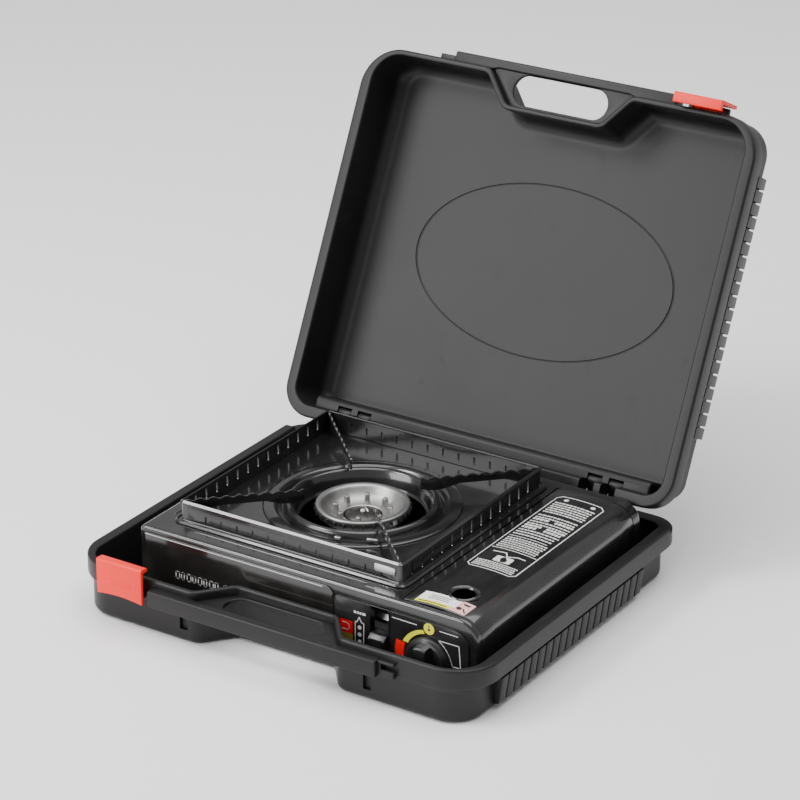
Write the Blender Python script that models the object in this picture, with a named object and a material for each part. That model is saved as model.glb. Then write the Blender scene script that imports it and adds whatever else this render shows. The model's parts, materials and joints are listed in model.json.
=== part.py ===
"""Portable butane camping stove in its open carrying case, as separate parts, in metres, +Z up.

The origin is at the middle of the case's footprint, on the surface it stands on. X runs to the right, Y to the back.
The lid is modelled closed, above the lower half, and its parent empty on the hinge axis turns it open.
"""
import math
import bpy
import bmesh
from mathutils import Matrix, Vector

# ---- driving sizes -------------------------------------------------------------------------------------------------
GAP = 0.0004                    # between pieces that rest on or in each other
FIT = 0.0003                    # between a pin and its hole

CASE_WIDTH = 0.400
CASE_DEPTH = 0.343
HALF_HEIGHT = 0.049
CASE_FLOOR = 0.0026
CASE_BOTTOM_ROUND = 0.006
FRONT_CORNER = 0.038
REAR_CORNER = 0.028
COLLAR_TALL = 0.017
COLLAR_PROUD = 0.0094
RIM_WIDE = 0.011
RIM_FRONT = 0.005
WALL_SLOPE = 0.0025
FLOOR_FILLET = 0.012
RECESS_DEEP = 0.0295
RECESS_MOUTH = 0.072
RECESS_BACK = 0.048
RECESS_WALL = 0.0046
HALVES_GAP = 0.0003

BAR_HALF = 0.1125
BAR_THICK = 0.008
BAR_PROUD = 0.009
BAR_TALL = 0.0149
BAR_DROP = 0.0055
WEB_THICK = 0.004
WEB_DROP = 0.0075
FINGER_HALF = 0.0475
FINGER_RADIUS = 0.0132

HINGE_INSET = 0.0115            # axis ahead of the case's rear edge
HINGE_RISE = 0.0193             # axis above the lower rim
LID_OPEN = 116.13               # degrees
EAR_WIDE = 0.014
EAR_GAP = 0.007
EAR_RADIUS = 0.0055
HINGE_PIN_RADIUS = 0.002
HINGE_MIDDLE = 0.130            # from the case's middle to the middle of each ear pair
KNUCKLE_RADIUS = 0.0054
HOUSING_HALF = 0.173
HOUSING_FACE = 0.0227           # inner face of the lid's hinge housing ahead of the case's rear edge
HOUSING_LIFT = 0.0135

LATCH_HALF = 0.023
LATCH_TO_BAR = 0.0045           # between the handle bar's end and the latch
LATCH_THICK = 0.0038
LATCH_FACE = 0.0101             # latch face ahead of the case's front edge
LATCH_BELOW = 0.020             # latch foot below the rim
LATCH_ABOVE = 0.0125            # latch top above the rim
LATCH_LIP = 0.004
LATCH_PIVOT_OUT = 0.0038
LATCH_PIVOT_DOWN = 0.0155
LATCH_PIN_RADIUS = 0.0012
LUG_RADIUS = 0.0022
LUG_WIDE = 0.005
LATCH_CATCH_DEEP = 0.0031

BODY_LEFT = -0.156
BODY_RIGHT = 0.178
BODY_FRONT = -0.1305
BODY_BACK = 0.134
BODY_TOP = 0.073
SHEET = 0.0012
BODY_LEFT_ROUND = 0.005
BODY_RIGHT_ROUND = 0.018
BODY_END_ROUND = 0.003
FOOT_TALL = 0.0022
FOOT_RADIUS = 0.009
PAN_SHEET = 0.001

BURNER_X = -0.0205
BURNER_Y = 0.0045
TOP_HOLE_RADIUS = 0.0745
DRIP_RADIUS = 0.0855
ROLL_RADIUS = 0.065
DRIP_MOUTH = 0.054
BURNER_RADIUS = 0.0405
BURNER_TOP = 0.0745

COVER_LEFT = 0.1042
COVER_FRONT = -0.124
COVER_BACK = 0.121
COVER_FOOT = 0.0435
COVER_CROWN = 0.0021
COVER_SEAM = 0.0005
COVER_AXIS_IN = 0.0012
COVER_AXIS_DOWN = 0.0023
COVER_ROD_RADIUS = 0.0008
COVER_BARREL_RADIUS = 0.0017
FINGER_HOLE_X = 0.1415
FINGER_HOLE_Y = -0.093
FINGER_HOLE_RADIUS = 0.010

SHIELD_X = 0.0995
TRIVET_LEFT = -0.1308
TRIVET_RIGHT = 0.0902
TRIVET_FRONT = -0.1060
TRIVET_BACK = 0.1150
TRIVET_TOP = 0.0925
TRIVET_SHEET = 0.0014
ARM_THICK = 0.0018
ARM_REACH = 0.050               # inner end of each arm from the burner's middle

PANEL_SHEET = 0.001
PANEL_SPLIT = 0.0415
PANEL_LEFT = -0.1500
PANEL_RIGHT = 0.1700
PANEL_FOOT = 0.0100
PANEL_TOP = 0.0685
SLOT_LEFT = 0.0770
SLOT_RIGHT = 0.0945
SLOT_FOOT = 0.0255
SLOT_TOP = 0.0625
LEVER_TRAVEL = 0.022
KNOB_X = 0.1330
KNOB_Z = 0.0300
KNOB_RADIUS = 0.0200
KNOB_FACE = -0.1472
STEM_RADIUS = 0.004
NOZZLE_Y = -0.1130
NOZZLE_Z = 0.0460
CARTRIDGE_X = 0.1388
CARTRIDGE_Z = 0.0411

# ---- places worked out from them -----------------------------------------------------------------------------------
LATCH_MIDDLE = BAR_HALF + LATCH_TO_BAR + LATCH_HALF
HALF_WIDTH = CASE_WIDTH / 2
FRONT = -CASE_DEPTH / 2
REAR = CASE_DEPTH / 2
PARTING = HALF_HEIGHT + HALVES_GAP / 2
HINGE = Vector((0.0, REAR - HINGE_INSET, HALF_HEIGHT + HINGE_RISE))
PAN_FOOT = CASE_FLOOR + 2 * GAP + FOOT_TALL
PAN_TOP = PAN_FOOT + PAN_SHEET
BODY_FOOT = PAN_TOP + GAP
TOP_INSIDE = BODY_TOP - SHEET
COVER_AXIS = Vector((COVER_LEFT + COVER_AXIS_IN, 0.0, BODY_TOP - COVER_AXIS_DOWN))
TRIVET_FOOT = BODY_TOP + GAP
PANEL_BACK = BODY_FRONT - FIT
PANEL_FRONT = PANEL_BACK - PANEL_SHEET


def clear_scene():
    """Empty the file of objects."""
    for old in list(bpy.data.objects):
        bpy.data.objects.remove(old)


def material(name, colour, roughness, metallic):
    """Plain finish for one kind of surface."""
    made = bpy.data.materials.new(name)
    made.use_nodes = True
    shader = made.node_tree.nodes["Principled BSDF"]
    shader.inputs["Base Color"].default_value = (*colour, 1.0)
    shader.inputs["Roughness"].default_value = roughness
    shader.inputs["Metallic"].default_value = metallic
    return made


# ---- mesh helpers: each returns a list of points and a list of faces -----------------------------------------------
def prism(outline, axis, low, high):
    """Outline drawn across an axis and extruded along it from low to high."""
    def at(pair, along):
        a, b = pair
        return {"X": (along, a, b), "Y": (a, along, b), "Z": (a, b, along)}[axis]
    count = len(outline)
    points = [at(pair, low) for pair in outline] + [at(pair, high) for pair in outline]
    faces = [tuple(range(count)), tuple(range(count, 2 * count))]
    for i in range(count):
        j = (i + 1) % count
        faces.append((i, j, count + j, count + i))
    return points, faces


def block(low, high):
    """Box between two corners."""
    outline = [(low[0], low[1]), (high[0], low[1]), (high[0], high[1]), (low[0], high[1])]
    return prism(outline, "Z", low[2], high[2])


def circle(centre, radius, count, start=0.0, stop=360.0):
    """Points round a circle, or along part of one when start and stop aren't a full turn apart."""
    full = abs(stop - start) >= 360.0
    steps = count if full else count - 1
    points = []
    for i in range(count):
        angle = math.radians(start + (stop - start) * i / steps)
        points.append((centre[0] + radius * math.cos(angle), centre[1] + radius * math.sin(angle)))
    return points


def rod(axis, centre, radius, low, high, count=20):
    """Round bar along an axis."""
    return prism(circle(centre, radius, count), axis, low, high)


def rounded(corners, radii, steps):
    """Polygon whose corners are arcs: corner i has radius radii[i] and steps[i] segments."""
    points = []
    count = len(corners)
    for i in range(count):
        here = Vector(corners[i])
        before = (Vector(corners[i - 1]) - here).normalized()
        after = (Vector(corners[(i + 1) % count]) - here).normalized()
        radius = radii[i]
        if radius <= 0:
            points.append(tuple(here))
            continue
        half = before.angle(after) / 2
        reach = radius / math.tan(half)
        centre = here + (before + after).normalized() * radius / math.sin(half)
        first = here + before * reach - centre
        last = here + after * reach - centre
        sweep = first.angle_signed(last)
        for k in range(steps[i] + 1):
            turned = first.copy()
            turned.rotate(Matrix.Rotation(-sweep * k / steps[i], 2))
            points.append(tuple(centre + turned))
    return points


def loft(rings):
    """Solid skinned through rings of equal point count, closed by the first and last ring."""
    count = len(rings[0])
    points = [point for ring in rings for point in ring]
    faces = [tuple(range(count))]
    for level in range(len(rings) - 1):
        base = level * count
        for i in range(count):
            j = (i + 1) % count
            faces.append((base + i, base + j, base + count + j, base + count + i))
    last = (len(rings) - 1) * count
    faces.append(tuple(range(last, last + count)))
    return points, faces


def turned_ring(profile, centre, count):
    """Closed (radius, height) profile turned about a vertical axis, with no point on the axis."""
    points = []
    for i in range(count):
        angle = math.tau * i / count
        for radius, height in profile:
            points.append((centre[0] + radius * math.cos(angle), centre[1] + radius * math.sin(angle), height))
    size = len(profile)
    faces = []
    for i in range(count):
        j = (i + 1) % count
        for k in range(size):
            n = (k + 1) % size
            faces.append((i * size + k, j * size + k, j * size + n, i * size + n))
    return points, faces


def turned_solid(profile, centre, count):
    """Open (radius, height) profile turned about a vertical axis and closed by flat discs at both ends."""
    rings = []
    for radius, height in profile:
        rings.append([(x, y, height) for x, y in circle(centre, radius, count)])
    return loft(rings)


# ---- object helpers ------------------------------------------------------------------------------------------------
def make(name, shape, finish=None, pivot=(0, 0, 0), parent=None):
    """Object from points and faces, with its own origin at the pivot."""
    pivot = Vector(pivot)
    points, faces = shape
    mesh = bpy.data.meshes.new(name)
    mesh.from_pydata([tuple(Vector(p) - pivot) for p in points], [], faces)
    work = bmesh.new()
    work.from_mesh(mesh)
    bmesh.ops.recalc_face_normals(work, faces=work.faces)
    work.to_mesh(mesh)
    work.free()
    made = bpy.data.objects.new(name, mesh)
    bpy.context.scene.collection.objects.link(made)
    if finish:
        mesh.materials.append(finish)
        mesh.shade_smooth()
        mesh.set_sharp_from_angle(angle=math.radians(32))
    if parent:
        made.parent = parent
        made.location = pivot - parent.location
    else:
        made.location = pivot
    return made


def shape_with(target, operation, name, shape, parent=None):
    """Add a shape to a piece, or cut it away, with a hidden guide and a Boolean."""
    guide = make(name, shape, parent=parent)
    guide.hide_render = True
    guide.display_type = "WIRE"
    step = target.modifiers.new(name, "BOOLEAN")
    step.operation = operation
    step.object = guide


def add(target, name, shape, parent=None):
    """Join a shape onto a piece."""
    shape_with(target, "UNION", "guide_" + name, shape, parent)


def cut(target, name, shape, parent=None):
    """Cut a shape out of a piece."""
    shape_with(target, "DIFFERENCE", "guide_" + name, shape, parent)


# ---- carrying case -------------------------------------------------------------------------------------------------
def case_outline(side, front, rear, recess, shrink=0.0):
    """Plan of a case half: its sides moved in by the given insets, and its corner radii by shrink."""
    left, right = -HALF_WIDTH + side, HALF_WIDTH - side
    low, high = FRONT + front, REAR - rear
    back = FRONT + RECESS_DEEP + recess
    lean = (RECESS_MOUTH - RECESS_BACK) / RECESS_DEEP
    shift = recess * math.sqrt(1 + lean * lean)
    mouth = RECESS_MOUTH + shift - lean * front
    floor = RECESS_BACK + shift - lean * recess
    corners = [(-mouth, low), (-floor, back), (floor, back), (mouth, low),
               (right, low), (right, high), (left, high), (left, low)]
    crown = max(0.0125 - recess - shrink, 0.0015)
    valley = 0.008 + recess + shrink
    front_round = max(FRONT_CORNER - side - shrink, 0.004)
    rear_round = max(REAR_CORNER - side - shrink, 0.004)
    radii = [crown, valley, valley, crown, front_round, rear_round, rear_round, front_round]
    steps = [3, 3, 3, 3, 9, 8, 8, 9]
    return rounded(corners, radii, steps)


def case_shell():
    """Tray of one case half, from its outer bottom up to the rim and down to its inner floor."""
    wall_front = 0.0012
    levels = []
    for angle in (0, 30, 60, 90):
        lean = CASE_BOTTOM_ROUND * (1 - math.sin(math.radians(angle)))
        height = CASE_BOTTOM_ROUND * (1 - math.cos(math.radians(angle)))
        levels.append((height, COLLAR_PROUD + lean, wall_front + lean, COLLAR_PROUD + lean, lean))
    collar_foot = HALF_HEIGHT - COLLAR_TALL
    rim_round = 0.001
    levels.append((collar_foot - 0.003, COLLAR_PROUD, wall_front, COLLAR_PROUD, 0.0))
    levels.append((collar_foot, 0.0, 0.0, 0.0, 0.0))
    levels.append((HALF_HEIGHT - rim_round, 0.0, 0.0, 0.0, 0.0))
    levels.append((HALF_HEIGHT, rim_round, rim_round, rim_round, rim_round))
    levels.append((HALF_HEIGHT, RIM_WIDE, RIM_FRONT, RIM_WIDE, RECESS_WALL))
    levels.append((HALF_HEIGHT - 0.003, RIM_WIDE + 0.0012, RIM_FRONT + 0.0003, RIM_WIDE + 0.0012,
                   RECESS_WALL + 0.0002))
    for angle in (0, 25, 50, 70, 90):
        lean = FLOOR_FILLET * (1 - math.cos(math.radians(angle)))
        height = CASE_FLOOR + FLOOR_FILLET * (1 - math.sin(math.radians(angle)))
        side = RIM_WIDE + WALL_SLOPE + lean
        levels.append((height, side, RIM_FRONT + 0.0006 + lean, side, RECESS_WALL + 0.0006 + lean))
    rings = []
    for height, side, front, rear, recess in levels:
        ring = case_outline(side, front, rear, recess)
        rings.append([(x, y, height) for x, y in ring])
    return loft(rings)


def bar_shape():
    """Half of the carrying handle's bar, which stands ahead of the recess."""
    face = FRONT - BAR_PROUD
    back = face + BAR_THICK
    root = FRONT + 0.0015
    outline = [(-BAR_HALF, face), (BAR_HALF, face), (BAR_HALF, root), (RECESS_MOUTH + 0.002, root),
               (RECESS_MOUTH - 0.006, back), (0.006 - RECESS_MOUTH, back), (-RECESS_MOUTH - 0.002, root),
               (-BAR_HALF, root)]
    top = HALF_HEIGHT - BAR_DROP
    return prism(outline, "Z", top - BAR_TALL, top)


def web_shape():
    """Plate that closes the recess round the finger gap."""
    top = HALF_HEIGHT - WEB_DROP
    back = FRONT + RECESS_DEEP + 0.002
    outline = [(-RECESS_MOUTH - 0.002, FRONT), (RECESS_MOUTH + 0.002, FRONT), (RECESS_BACK + 0.002, back),
               (-RECESS_BACK - 0.002, back)]
    return prism(outline, "Z", top - WEB_THICK, top)


def finger_gap():
    """Long round-ended hole through the web."""
    middle = FRONT + 0.0135
    reach = FINGER_HALF - FINGER_RADIUS
    outline = circle((reach, middle), FINGER_RADIUS, 9, -90, 90)
    outline += circle((-reach, middle), FINGER_RADIUS, 9, 90, 270)
    top = HALF_HEIGHT - WEB_DROP
    return prism(outline, "Z", top - WEB_THICK - 0.002, top + 0.002)


def latch_pivot():
    """Axis of the lower half's latch, as (y, z)."""
    return FRONT - LATCH_PIVOT_OUT, HALF_HEIGHT - LATCH_PIVOT_DOWN


def lug_shape(side):
    """Lug on the case's front wall that holds one end of the latch pin."""
    y, z = latch_pivot()
    inner = LATCH_HALF - 0.0036 - LUG_WIDE
    outline = circle((y, z), LUG_RADIUS, 9, 90, 270)
    outline += [(FRONT + 0.003, z - LUG_RADIUS), (FRONT + 0.003, z + LUG_RADIUS)]
    low = -LATCH_MIDDLE + side * inner
    high = low + side * LUG_WIDE
    return prism(outline, "X", min(low, high), max(low, high))


def latch_catch():
    """Groove on the far side of the front wall for the other half's latch lip."""
    low = HALF_HEIGHT - LATCH_ABOVE - 0.001
    high = low + LATCH_LIP + 0.002
    return block((LATCH_MIDDLE - LATCH_HALF - 0.001, FRONT - 0.003, low),
                 (LATCH_MIDDLE + LATCH_HALF + 0.001, FRONT + LATCH_CATCH_DEEP, high))


def flipped(shape):
    """The same shape on the other case half: turned half round about the front-back line at the parting plane."""
    points, faces = shape
    return [(-x, y, 2 * PARTING - z) for x, y, z in points], faces


def ear_places():
    """Low and high x of each hinge ear."""
    places = []
    for side in (-1, 1):
        for step in (-1, 1):
            middle = side * HINGE_MIDDLE + step * (EAR_GAP + EAR_WIDE) / 2
            places.append((middle - EAR_WIDE / 2, middle + EAR_WIDE / 2))
    return places


def ear_outline():
    """Side view of a hinge ear, as (y, z) points."""
    y, z = HINGE.y, HINGE.z
    foot = HALF_HEIGHT - COLLAR_TALL + 0.001
    outline = circle((y, z), EAR_RADIUS, 11, 0, 180)
    outline += [(y - EAR_RADIUS, foot + 0.003), (y - 0.0015, foot - 0.003), (y + EAR_RADIUS, foot)]
    return outline


def ear_pocket_outline():
    """Side view of the space that an ear needs in the lid, from closed to fully open."""
    y, z = HINGE.y, HINGE.z
    radius = EAR_RADIUS + GAP
    lean = LID_OPEN - 90
    outline = circle((y, z), radius, 9, 180, 90 + lean)
    along = Vector((math.cos(math.radians(lean)), math.sin(math.radians(lean)))) * 0.040
    outline.append((outline[-1][0] + along.x, outline[-1][1] + along.y))
    outline += [(y + 0.040, HALF_HEIGHT - 0.010), (y - radius, HALF_HEIGHT - 0.010)]
    return outline


def build_case(plastic, latch_plastic, steel):
    """Both halves with their hinge, handle bars and latches. Returns the empty that the lid turns on."""
    lid_turn = bpy.data.objects.new("lid_turn", None)
    lid_turn.location = HINGE
    lid_turn.rotation_euler = (math.radians(-LID_OPEN), 0, 0)
    bpy.context.scene.collection.objects.link(lid_turn)

    base = make("case_base", case_shell(), plastic)
    lid = make("case_lid", flipped(case_shell()), plastic, pivot=HINGE, parent=lid_turn)
    shapes = [("bar", bar_shape(), add), ("web", web_shape(), add), ("finger_gap", finger_gap(), cut),
              ("lug_a", lug_shape(-1), add), ("lug_b", lug_shape(1), add), ("catch", latch_catch(), cut)]
    y, z = latch_pivot()
    pin_hole = rod("X", (y, z), LATCH_PIN_RADIUS + FIT, -LATCH_MIDDLE - 0.025, -LATCH_MIDDLE + 0.025, 12)
    shapes.append(("latch_pin_hole", pin_hole, cut))
    for name, shape, work in shapes:
        work(base, "base_" + name, shape)
        work(lid, "lid_" + name, flipped(shape), lid_turn)

    sweep = math.hypot(HINGE_INSET, HINGE_RISE)
    low = HINGE.z - sweep - 0.0012
    reach = math.sqrt(sweep ** 2 - HINGE_RISE ** 2)
    cut(base, "rear_rim", block((-0.25, HINGE.y - reach - 0.002, low), (0.25, 0.25, 0.1)))
    bore = HINGE_PIN_RADIUS + FIT
    outline = ear_outline()
    for number, (left, right) in enumerate(ear_places()):
        add(base, f"ear_{number}", prism(outline, "X", left, right))
    for side in (-1, 1):
        reach = EAR_WIDE + EAR_GAP
        hole = rod("X", (HINGE.y, HINGE.z), bore, side * HINGE_MIDDLE - reach, side * HINGE_MIDDLE + reach)
        cut(base, f"hinge_hole_{side}", hole)

    face = REAR - HOUSING_FACE
    foot = HALF_HEIGHT + HOUSING_LIFT
    top = 2 * PARTING - CASE_FLOOR + 0.0008
    inner = REAR - COLLAR_PROUD - 0.0015
    housing = rounded([(face, foot), (face, top), (inner, top), (inner, foot)], [0.005, 0, 0, 0], [4, 0, 0, 0])
    add(lid, "housing", prism(housing, "X", -HOUSING_HALF, HOUSING_HALF), lid_turn)
    for side in (-1, 1):
        half = EAR_GAP / 2 - GAP
        knuckle = rod("X", (HINGE.y, HINGE.z), KNUCKLE_RADIUS, side * HINGE_MIDDLE - half, side * HINGE_MIDDLE + half)
        add(lid, f"knuckle_{side}", knuckle, lid_turn)
    pocket = ear_pocket_outline()
    for number, (left, right) in enumerate(ear_places()):
        cut(lid, f"ear_pocket_{number}", prism(pocket, "X", left - GAP, right + GAP), lid_turn)
    for side in (-1, 1):
        hole = rod("X", (HINGE.y, HINGE.z), bore, side * HINGE_MIDDLE - 0.007, side * HINGE_MIDDLE + 0.007)
        cut(lid, f"pin_hole_{side}", hole, lid_turn)
    reach = EAR_WIDE + EAR_GAP / 2 - 0.0002
    for side, name in ((-1, "left"), (1, "right")):
        middle = side * HINGE_MIDDLE
        pin = rod("X", (HINGE.y, HINGE.z), HINGE_PIN_RADIUS, middle - reach, middle + reach)
        make(f"hinge_pin_{name}", pin, steel)

    for name, turn, parent in (("base", lambda shape: shape, None), ("lid", flipped, lid_turn)):
        build_latch(name, turn, parent, latch_plastic, steel)
    return lid_turn


def build_latch(name, turn, parent, plastic, steel):
    """Red latch and its pin, on the half that turn puts its shapes on."""
    y, z = latch_pivot()
    face = FRONT - LATCH_FACE
    back = face + LATCH_THICK
    top = HALF_HEIGHT + LATCH_ABOVE
    foot = HALF_HEIGHT - LATCH_BELOW
    tip = FRONT - 0.0009
    left, right = -LATCH_MIDDLE - LATCH_HALF, -LATCH_MIDDLE + LATCH_HALF
    side = rounded([(face, foot), (back, foot), (back, top - LATCH_LIP), (tip, top - LATCH_LIP), (tip, top - 0.0015),
                    (face, top)], [0.001, 0, 0, 0, 0.001, 0.0015], [2, 0, 0, 0, 2, 3])
    pivot = turn(([(-LATCH_MIDDLE, y, z)], []))[0][0]
    latch = make(f"{name}_latch", turn(prism(side, "X", left, right)), plastic, pivot=pivot, parent=parent)
    arch = circle((-LATCH_MIDDLE, foot - 0.052), 0.055, 11, 60, 120)
    arch_cut = prism(arch, "Y", face - 0.01, back + 0.001)
    cut(latch, f"{name}_latch_arch", turn(arch_cut), parent)
    half = LATCH_HALF - 0.0036 - LUG_WIDE - GAP
    barrel = rod("X", (y, z), back - y + 0.0002 if back > y else y - back + 0.0002, -LATCH_MIDDLE - half,
                 -LATCH_MIDDLE + half, 16)
    add(latch, f"{name}_latch_barrel", turn(barrel), parent)
    hole = rod("X", (y, z), LATCH_PIN_RADIUS + FIT, -LATCH_MIDDLE - 0.025, -LATCH_MIDDLE + 0.025, 12)
    cut(latch, f"{name}_latch_bore", turn(hole), parent)
    reach = LATCH_HALF - 0.0038
    pin = rod("X", (y, z), LATCH_PIN_RADIUS, -LATCH_MIDDLE - reach, -LATCH_MIDDLE + reach, 12)
    make(f"{name}_latch_pin", turn(pin), steel, pivot=pivot, parent=parent)


# ---- stove body ----------------------------------------------------------------------------------------------------
def body_profile(inset, foot):
    """Front view of the stove's body, moved in by inset, as (x, z) points."""
    left, right, top = BODY_LEFT + inset, BODY_RIGHT - inset, BODY_TOP - inset
    corners = [(left, foot), (right, foot), (right, top), (left, top)]
    radii = [0, 0, BODY_RIGHT_ROUND - inset, BODY_LEFT_ROUND - inset]
    return rounded(corners, radii, [0, 0, 8, 4])


def rounded_ends(profile, front, back, round_size):
    """Profile extruded from front to back, with its two end edges rounded except along the foot."""
    points, faces = prism(profile, "Y", front, back)
    foot = min(z for _, z in profile)
    work = bmesh.new()
    made = [work.verts.new(p) for p in points]
    for face in faces:
        work.faces.new([made[i] for i in face])
    bmesh.ops.recalc_face_normals(work, faces=work.faces)
    ends = [e for e in work.edges
            if e.verts[0].co.y == e.verts[1].co.y and max(v.co.z for v in e.verts) > foot + 0.001]
    bmesh.ops.bevel(work, geom=ends, offset=round_size, segments=3, profile=0.5, affect="EDGES")
    work.verts.index_update()
    out = ([tuple(v.co) for v in work.verts], [tuple(v.index for v in f.verts) for f in work.faces])
    work.free()
    return out


def build_body(enamel, zinc, rubber, gloss, grey):
    """Body shell, bottom pan, feet, panels and heat shield."""
    outer = rounded_ends(body_profile(0, BODY_FOOT), BODY_FRONT, BODY_BACK, BODY_END_ROUND)
    body = make("body_shell", outer, enamel)
    inside = prism(body_profile(SHEET, BODY_FOOT - 0.004), "Y", BODY_FRONT + SHEET, BODY_BACK - SHEET)
    cut(body, "body_inside", inside)
    cut(body, "top_hole", rod("Z", (BURNER_X, BURNER_Y), TOP_HOLE_RADIUS, TOP_INSIDE - 0.004, BODY_TOP + 0.004, 48))
    seam = COVER_SEAM
    edge = COVER_AXIS.x - math.hypot(COVER_AXIS_IN, COVER_AXIS_DOWN) - GAP
    cut(body, "bay_mouth", block((edge, COVER_FRONT - seam, COVER_FOOT - seam), (0.3, COVER_BACK + seam, 0.1)))
    cut(body, "lever_slot", block((SLOT_LEFT, BODY_FRONT - 0.004, SLOT_FOOT), (SLOT_RIGHT, BODY_FRONT + 0.004, SLOT_TOP)))
    shaft = rod("Y", (KNOB_X, KNOB_Z), STEM_RADIUS + 0.002, BODY_FRONT - 0.004, BODY_FRONT + 0.004)
    cut(body, "shaft_hole", shaft)
    for name, low in (("front", COVER_FRONT - 0.0032), ("rear", COVER_BACK + 0.0015)):
        tab = block((COVER_AXIS.x - 0.0020, low, COVER_AXIS.z - 0.0022),
                    (COVER_AXIS.x + 0.0022, low + 0.0018, TOP_INSIDE + 0.0004))
        add(body, f"rod_tab_{name}", tab)
    rod_hole = rod("Y", (COVER_AXIS.x, COVER_AXIS.z), COVER_ROD_RADIUS + FIT, COVER_FRONT - 0.0034,
                   COVER_BACK + 0.0040, 12)
    cut(body, "rod_hole", rod_hole)

    pan_in = 0.0015
    corners = [(BODY_LEFT + pan_in, BODY_FRONT + pan_in), (BODY_RIGHT - pan_in, BODY_FRONT + pan_in),
               (BODY_RIGHT - pan_in, BODY_BACK - pan_in), (BODY_LEFT + pan_in, BODY_BACK - pan_in)]
    make("bottom_pan", prism(rounded(corners, [0.004] * 4, [4] * 4), "Z", PAN_FOOT, PAN_TOP), zinc)
    foot_in = 0.026
    for name, x, y in (("front_left", BODY_LEFT + foot_in, BODY_FRONT + foot_in),
                       ("front_right", BODY_RIGHT - foot_in, BODY_FRONT + foot_in),
                       ("rear_left", BODY_LEFT + foot_in, BODY_BACK - foot_in),
                       ("rear_right", BODY_RIGHT - foot_in, BODY_BACK - foot_in)):
        low = CASE_FLOOR + GAP
        profile = [(FOOT_RADIUS - 0.0008, low), (FOOT_RADIUS, low + 0.0008), (FOOT_RADIUS, low + FOOT_TALL)]
        make(f"foot_{name}", turned_solid(profile, (x, y), 20), rubber)

    low, high = PANEL_FOOT, PANEL_TOP
    name_panel = rounded([(PANEL_LEFT, low), (PANEL_SPLIT - GAP, low), (PANEL_SPLIT - GAP, high), (PANEL_LEFT, high)],
                         [0.002, 0.001, 0.008, 0.002], [3, 2, 5, 3])
    make("name_panel", prism(name_panel, "Y", PANEL_FRONT, PANEL_BACK), gloss)
    control = rounded([(PANEL_SPLIT + GAP, low), (PANEL_RIGHT, low), (PANEL_RIGHT, high - 0.006),
                       (PANEL_SPLIT + GAP, high - 0.006)], [0.001, 0.004, 0.014, 0.001], [2, 3, 6, 2])
    panel = make("control_panel", prism(control, "Y", PANEL_FRONT, PANEL_BACK), grey)
    cut(panel, "panel_slot", block((SLOT_LEFT, PANEL_FRONT - 0.002, SLOT_FOOT), (SLOT_RIGHT, PANEL_BACK + 0.002, SLOT_TOP)))
    shaft = rod("Y", (KNOB_X, KNOB_Z), STEM_RADIUS + 0.002, PANEL_FRONT - 0.002, PANEL_BACK + 0.002)
    cut(panel, "panel_shaft", shaft)

    top = TOP_INSIDE - GAP
    front, back = BODY_FRONT + SHEET + 0.0015, BODY_BACK - SHEET - 0.0015
    shield = make("heat_shield", block((SHIELD_X, front, BODY_FOOT + 0.0004), (SHIELD_X + PAN_SHEET, back, top - 0.0030)),
                  zinc)
    mouth = rod("X", (NOZZLE_Y, NOZZLE_Z), 0.0095, SHIELD_X - 0.004, SHIELD_X + 0.004)
    cut(shield, "shield_tube_hole", mouth)


def build_cover(enamel, steel):
    """Hinged cover over the cartridge bay, with its rod."""
    flat_end = BODY_RIGHT - BODY_RIGHT_ROUND
    span = flat_end - COVER_LEFT
    radius = (span ** 2 / 4 + COVER_CROWN ** 2) / (2 * COVER_CROWN)
    middle = (COVER_LEFT + span / 2, BODY_TOP + COVER_CROWN - radius)
    half = math.degrees(math.asin(span / 2 / radius))

    def skin(inset):
        crown = circle(middle, radius - inset, 9, 90 + half, 90 - half)
        corner = circle((flat_end, BODY_TOP - BODY_RIGHT_ROUND), BODY_RIGHT_ROUND - inset, 9, 90, 0)
        return crown + corner[1:] + [(BODY_RIGHT - inset, COVER_FOOT)]
    outline = skin(0) + skin(SHEET)[::-1]
    axis = (COVER_AXIS.x, 0, COVER_AXIS.z)
    cover = make("cartridge_cover", prism(outline, "Y", COVER_FRONT, COVER_BACK), enamel, pivot=axis)
    place = (COVER_AXIS.x, COVER_AXIS.z)
    for number, (low, high) in enumerate(((-0.100, -0.080), (-0.010, 0.010), (0.080, 0.100))):
        add(cover, f"cover_barrel_{number}", rod("Y", place, COVER_BARREL_RADIUS, low, high, 14))
    cut(cover, "cover_bore", rod("Y", place, COVER_ROD_RADIUS + FIT, -0.102, 0.102, 12))
    cut(cover, "cover_finger_hole", rod("Z", (FINGER_HOLE_X, FINGER_HOLE_Y), FINGER_HOLE_RADIUS, 0.060, 0.090, 28))
    make("cover_rod", rod("Y", place, COVER_ROD_RADIUS, COVER_FRONT - 0.0032, COVER_BACK + 0.0036, 12), steel)


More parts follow.
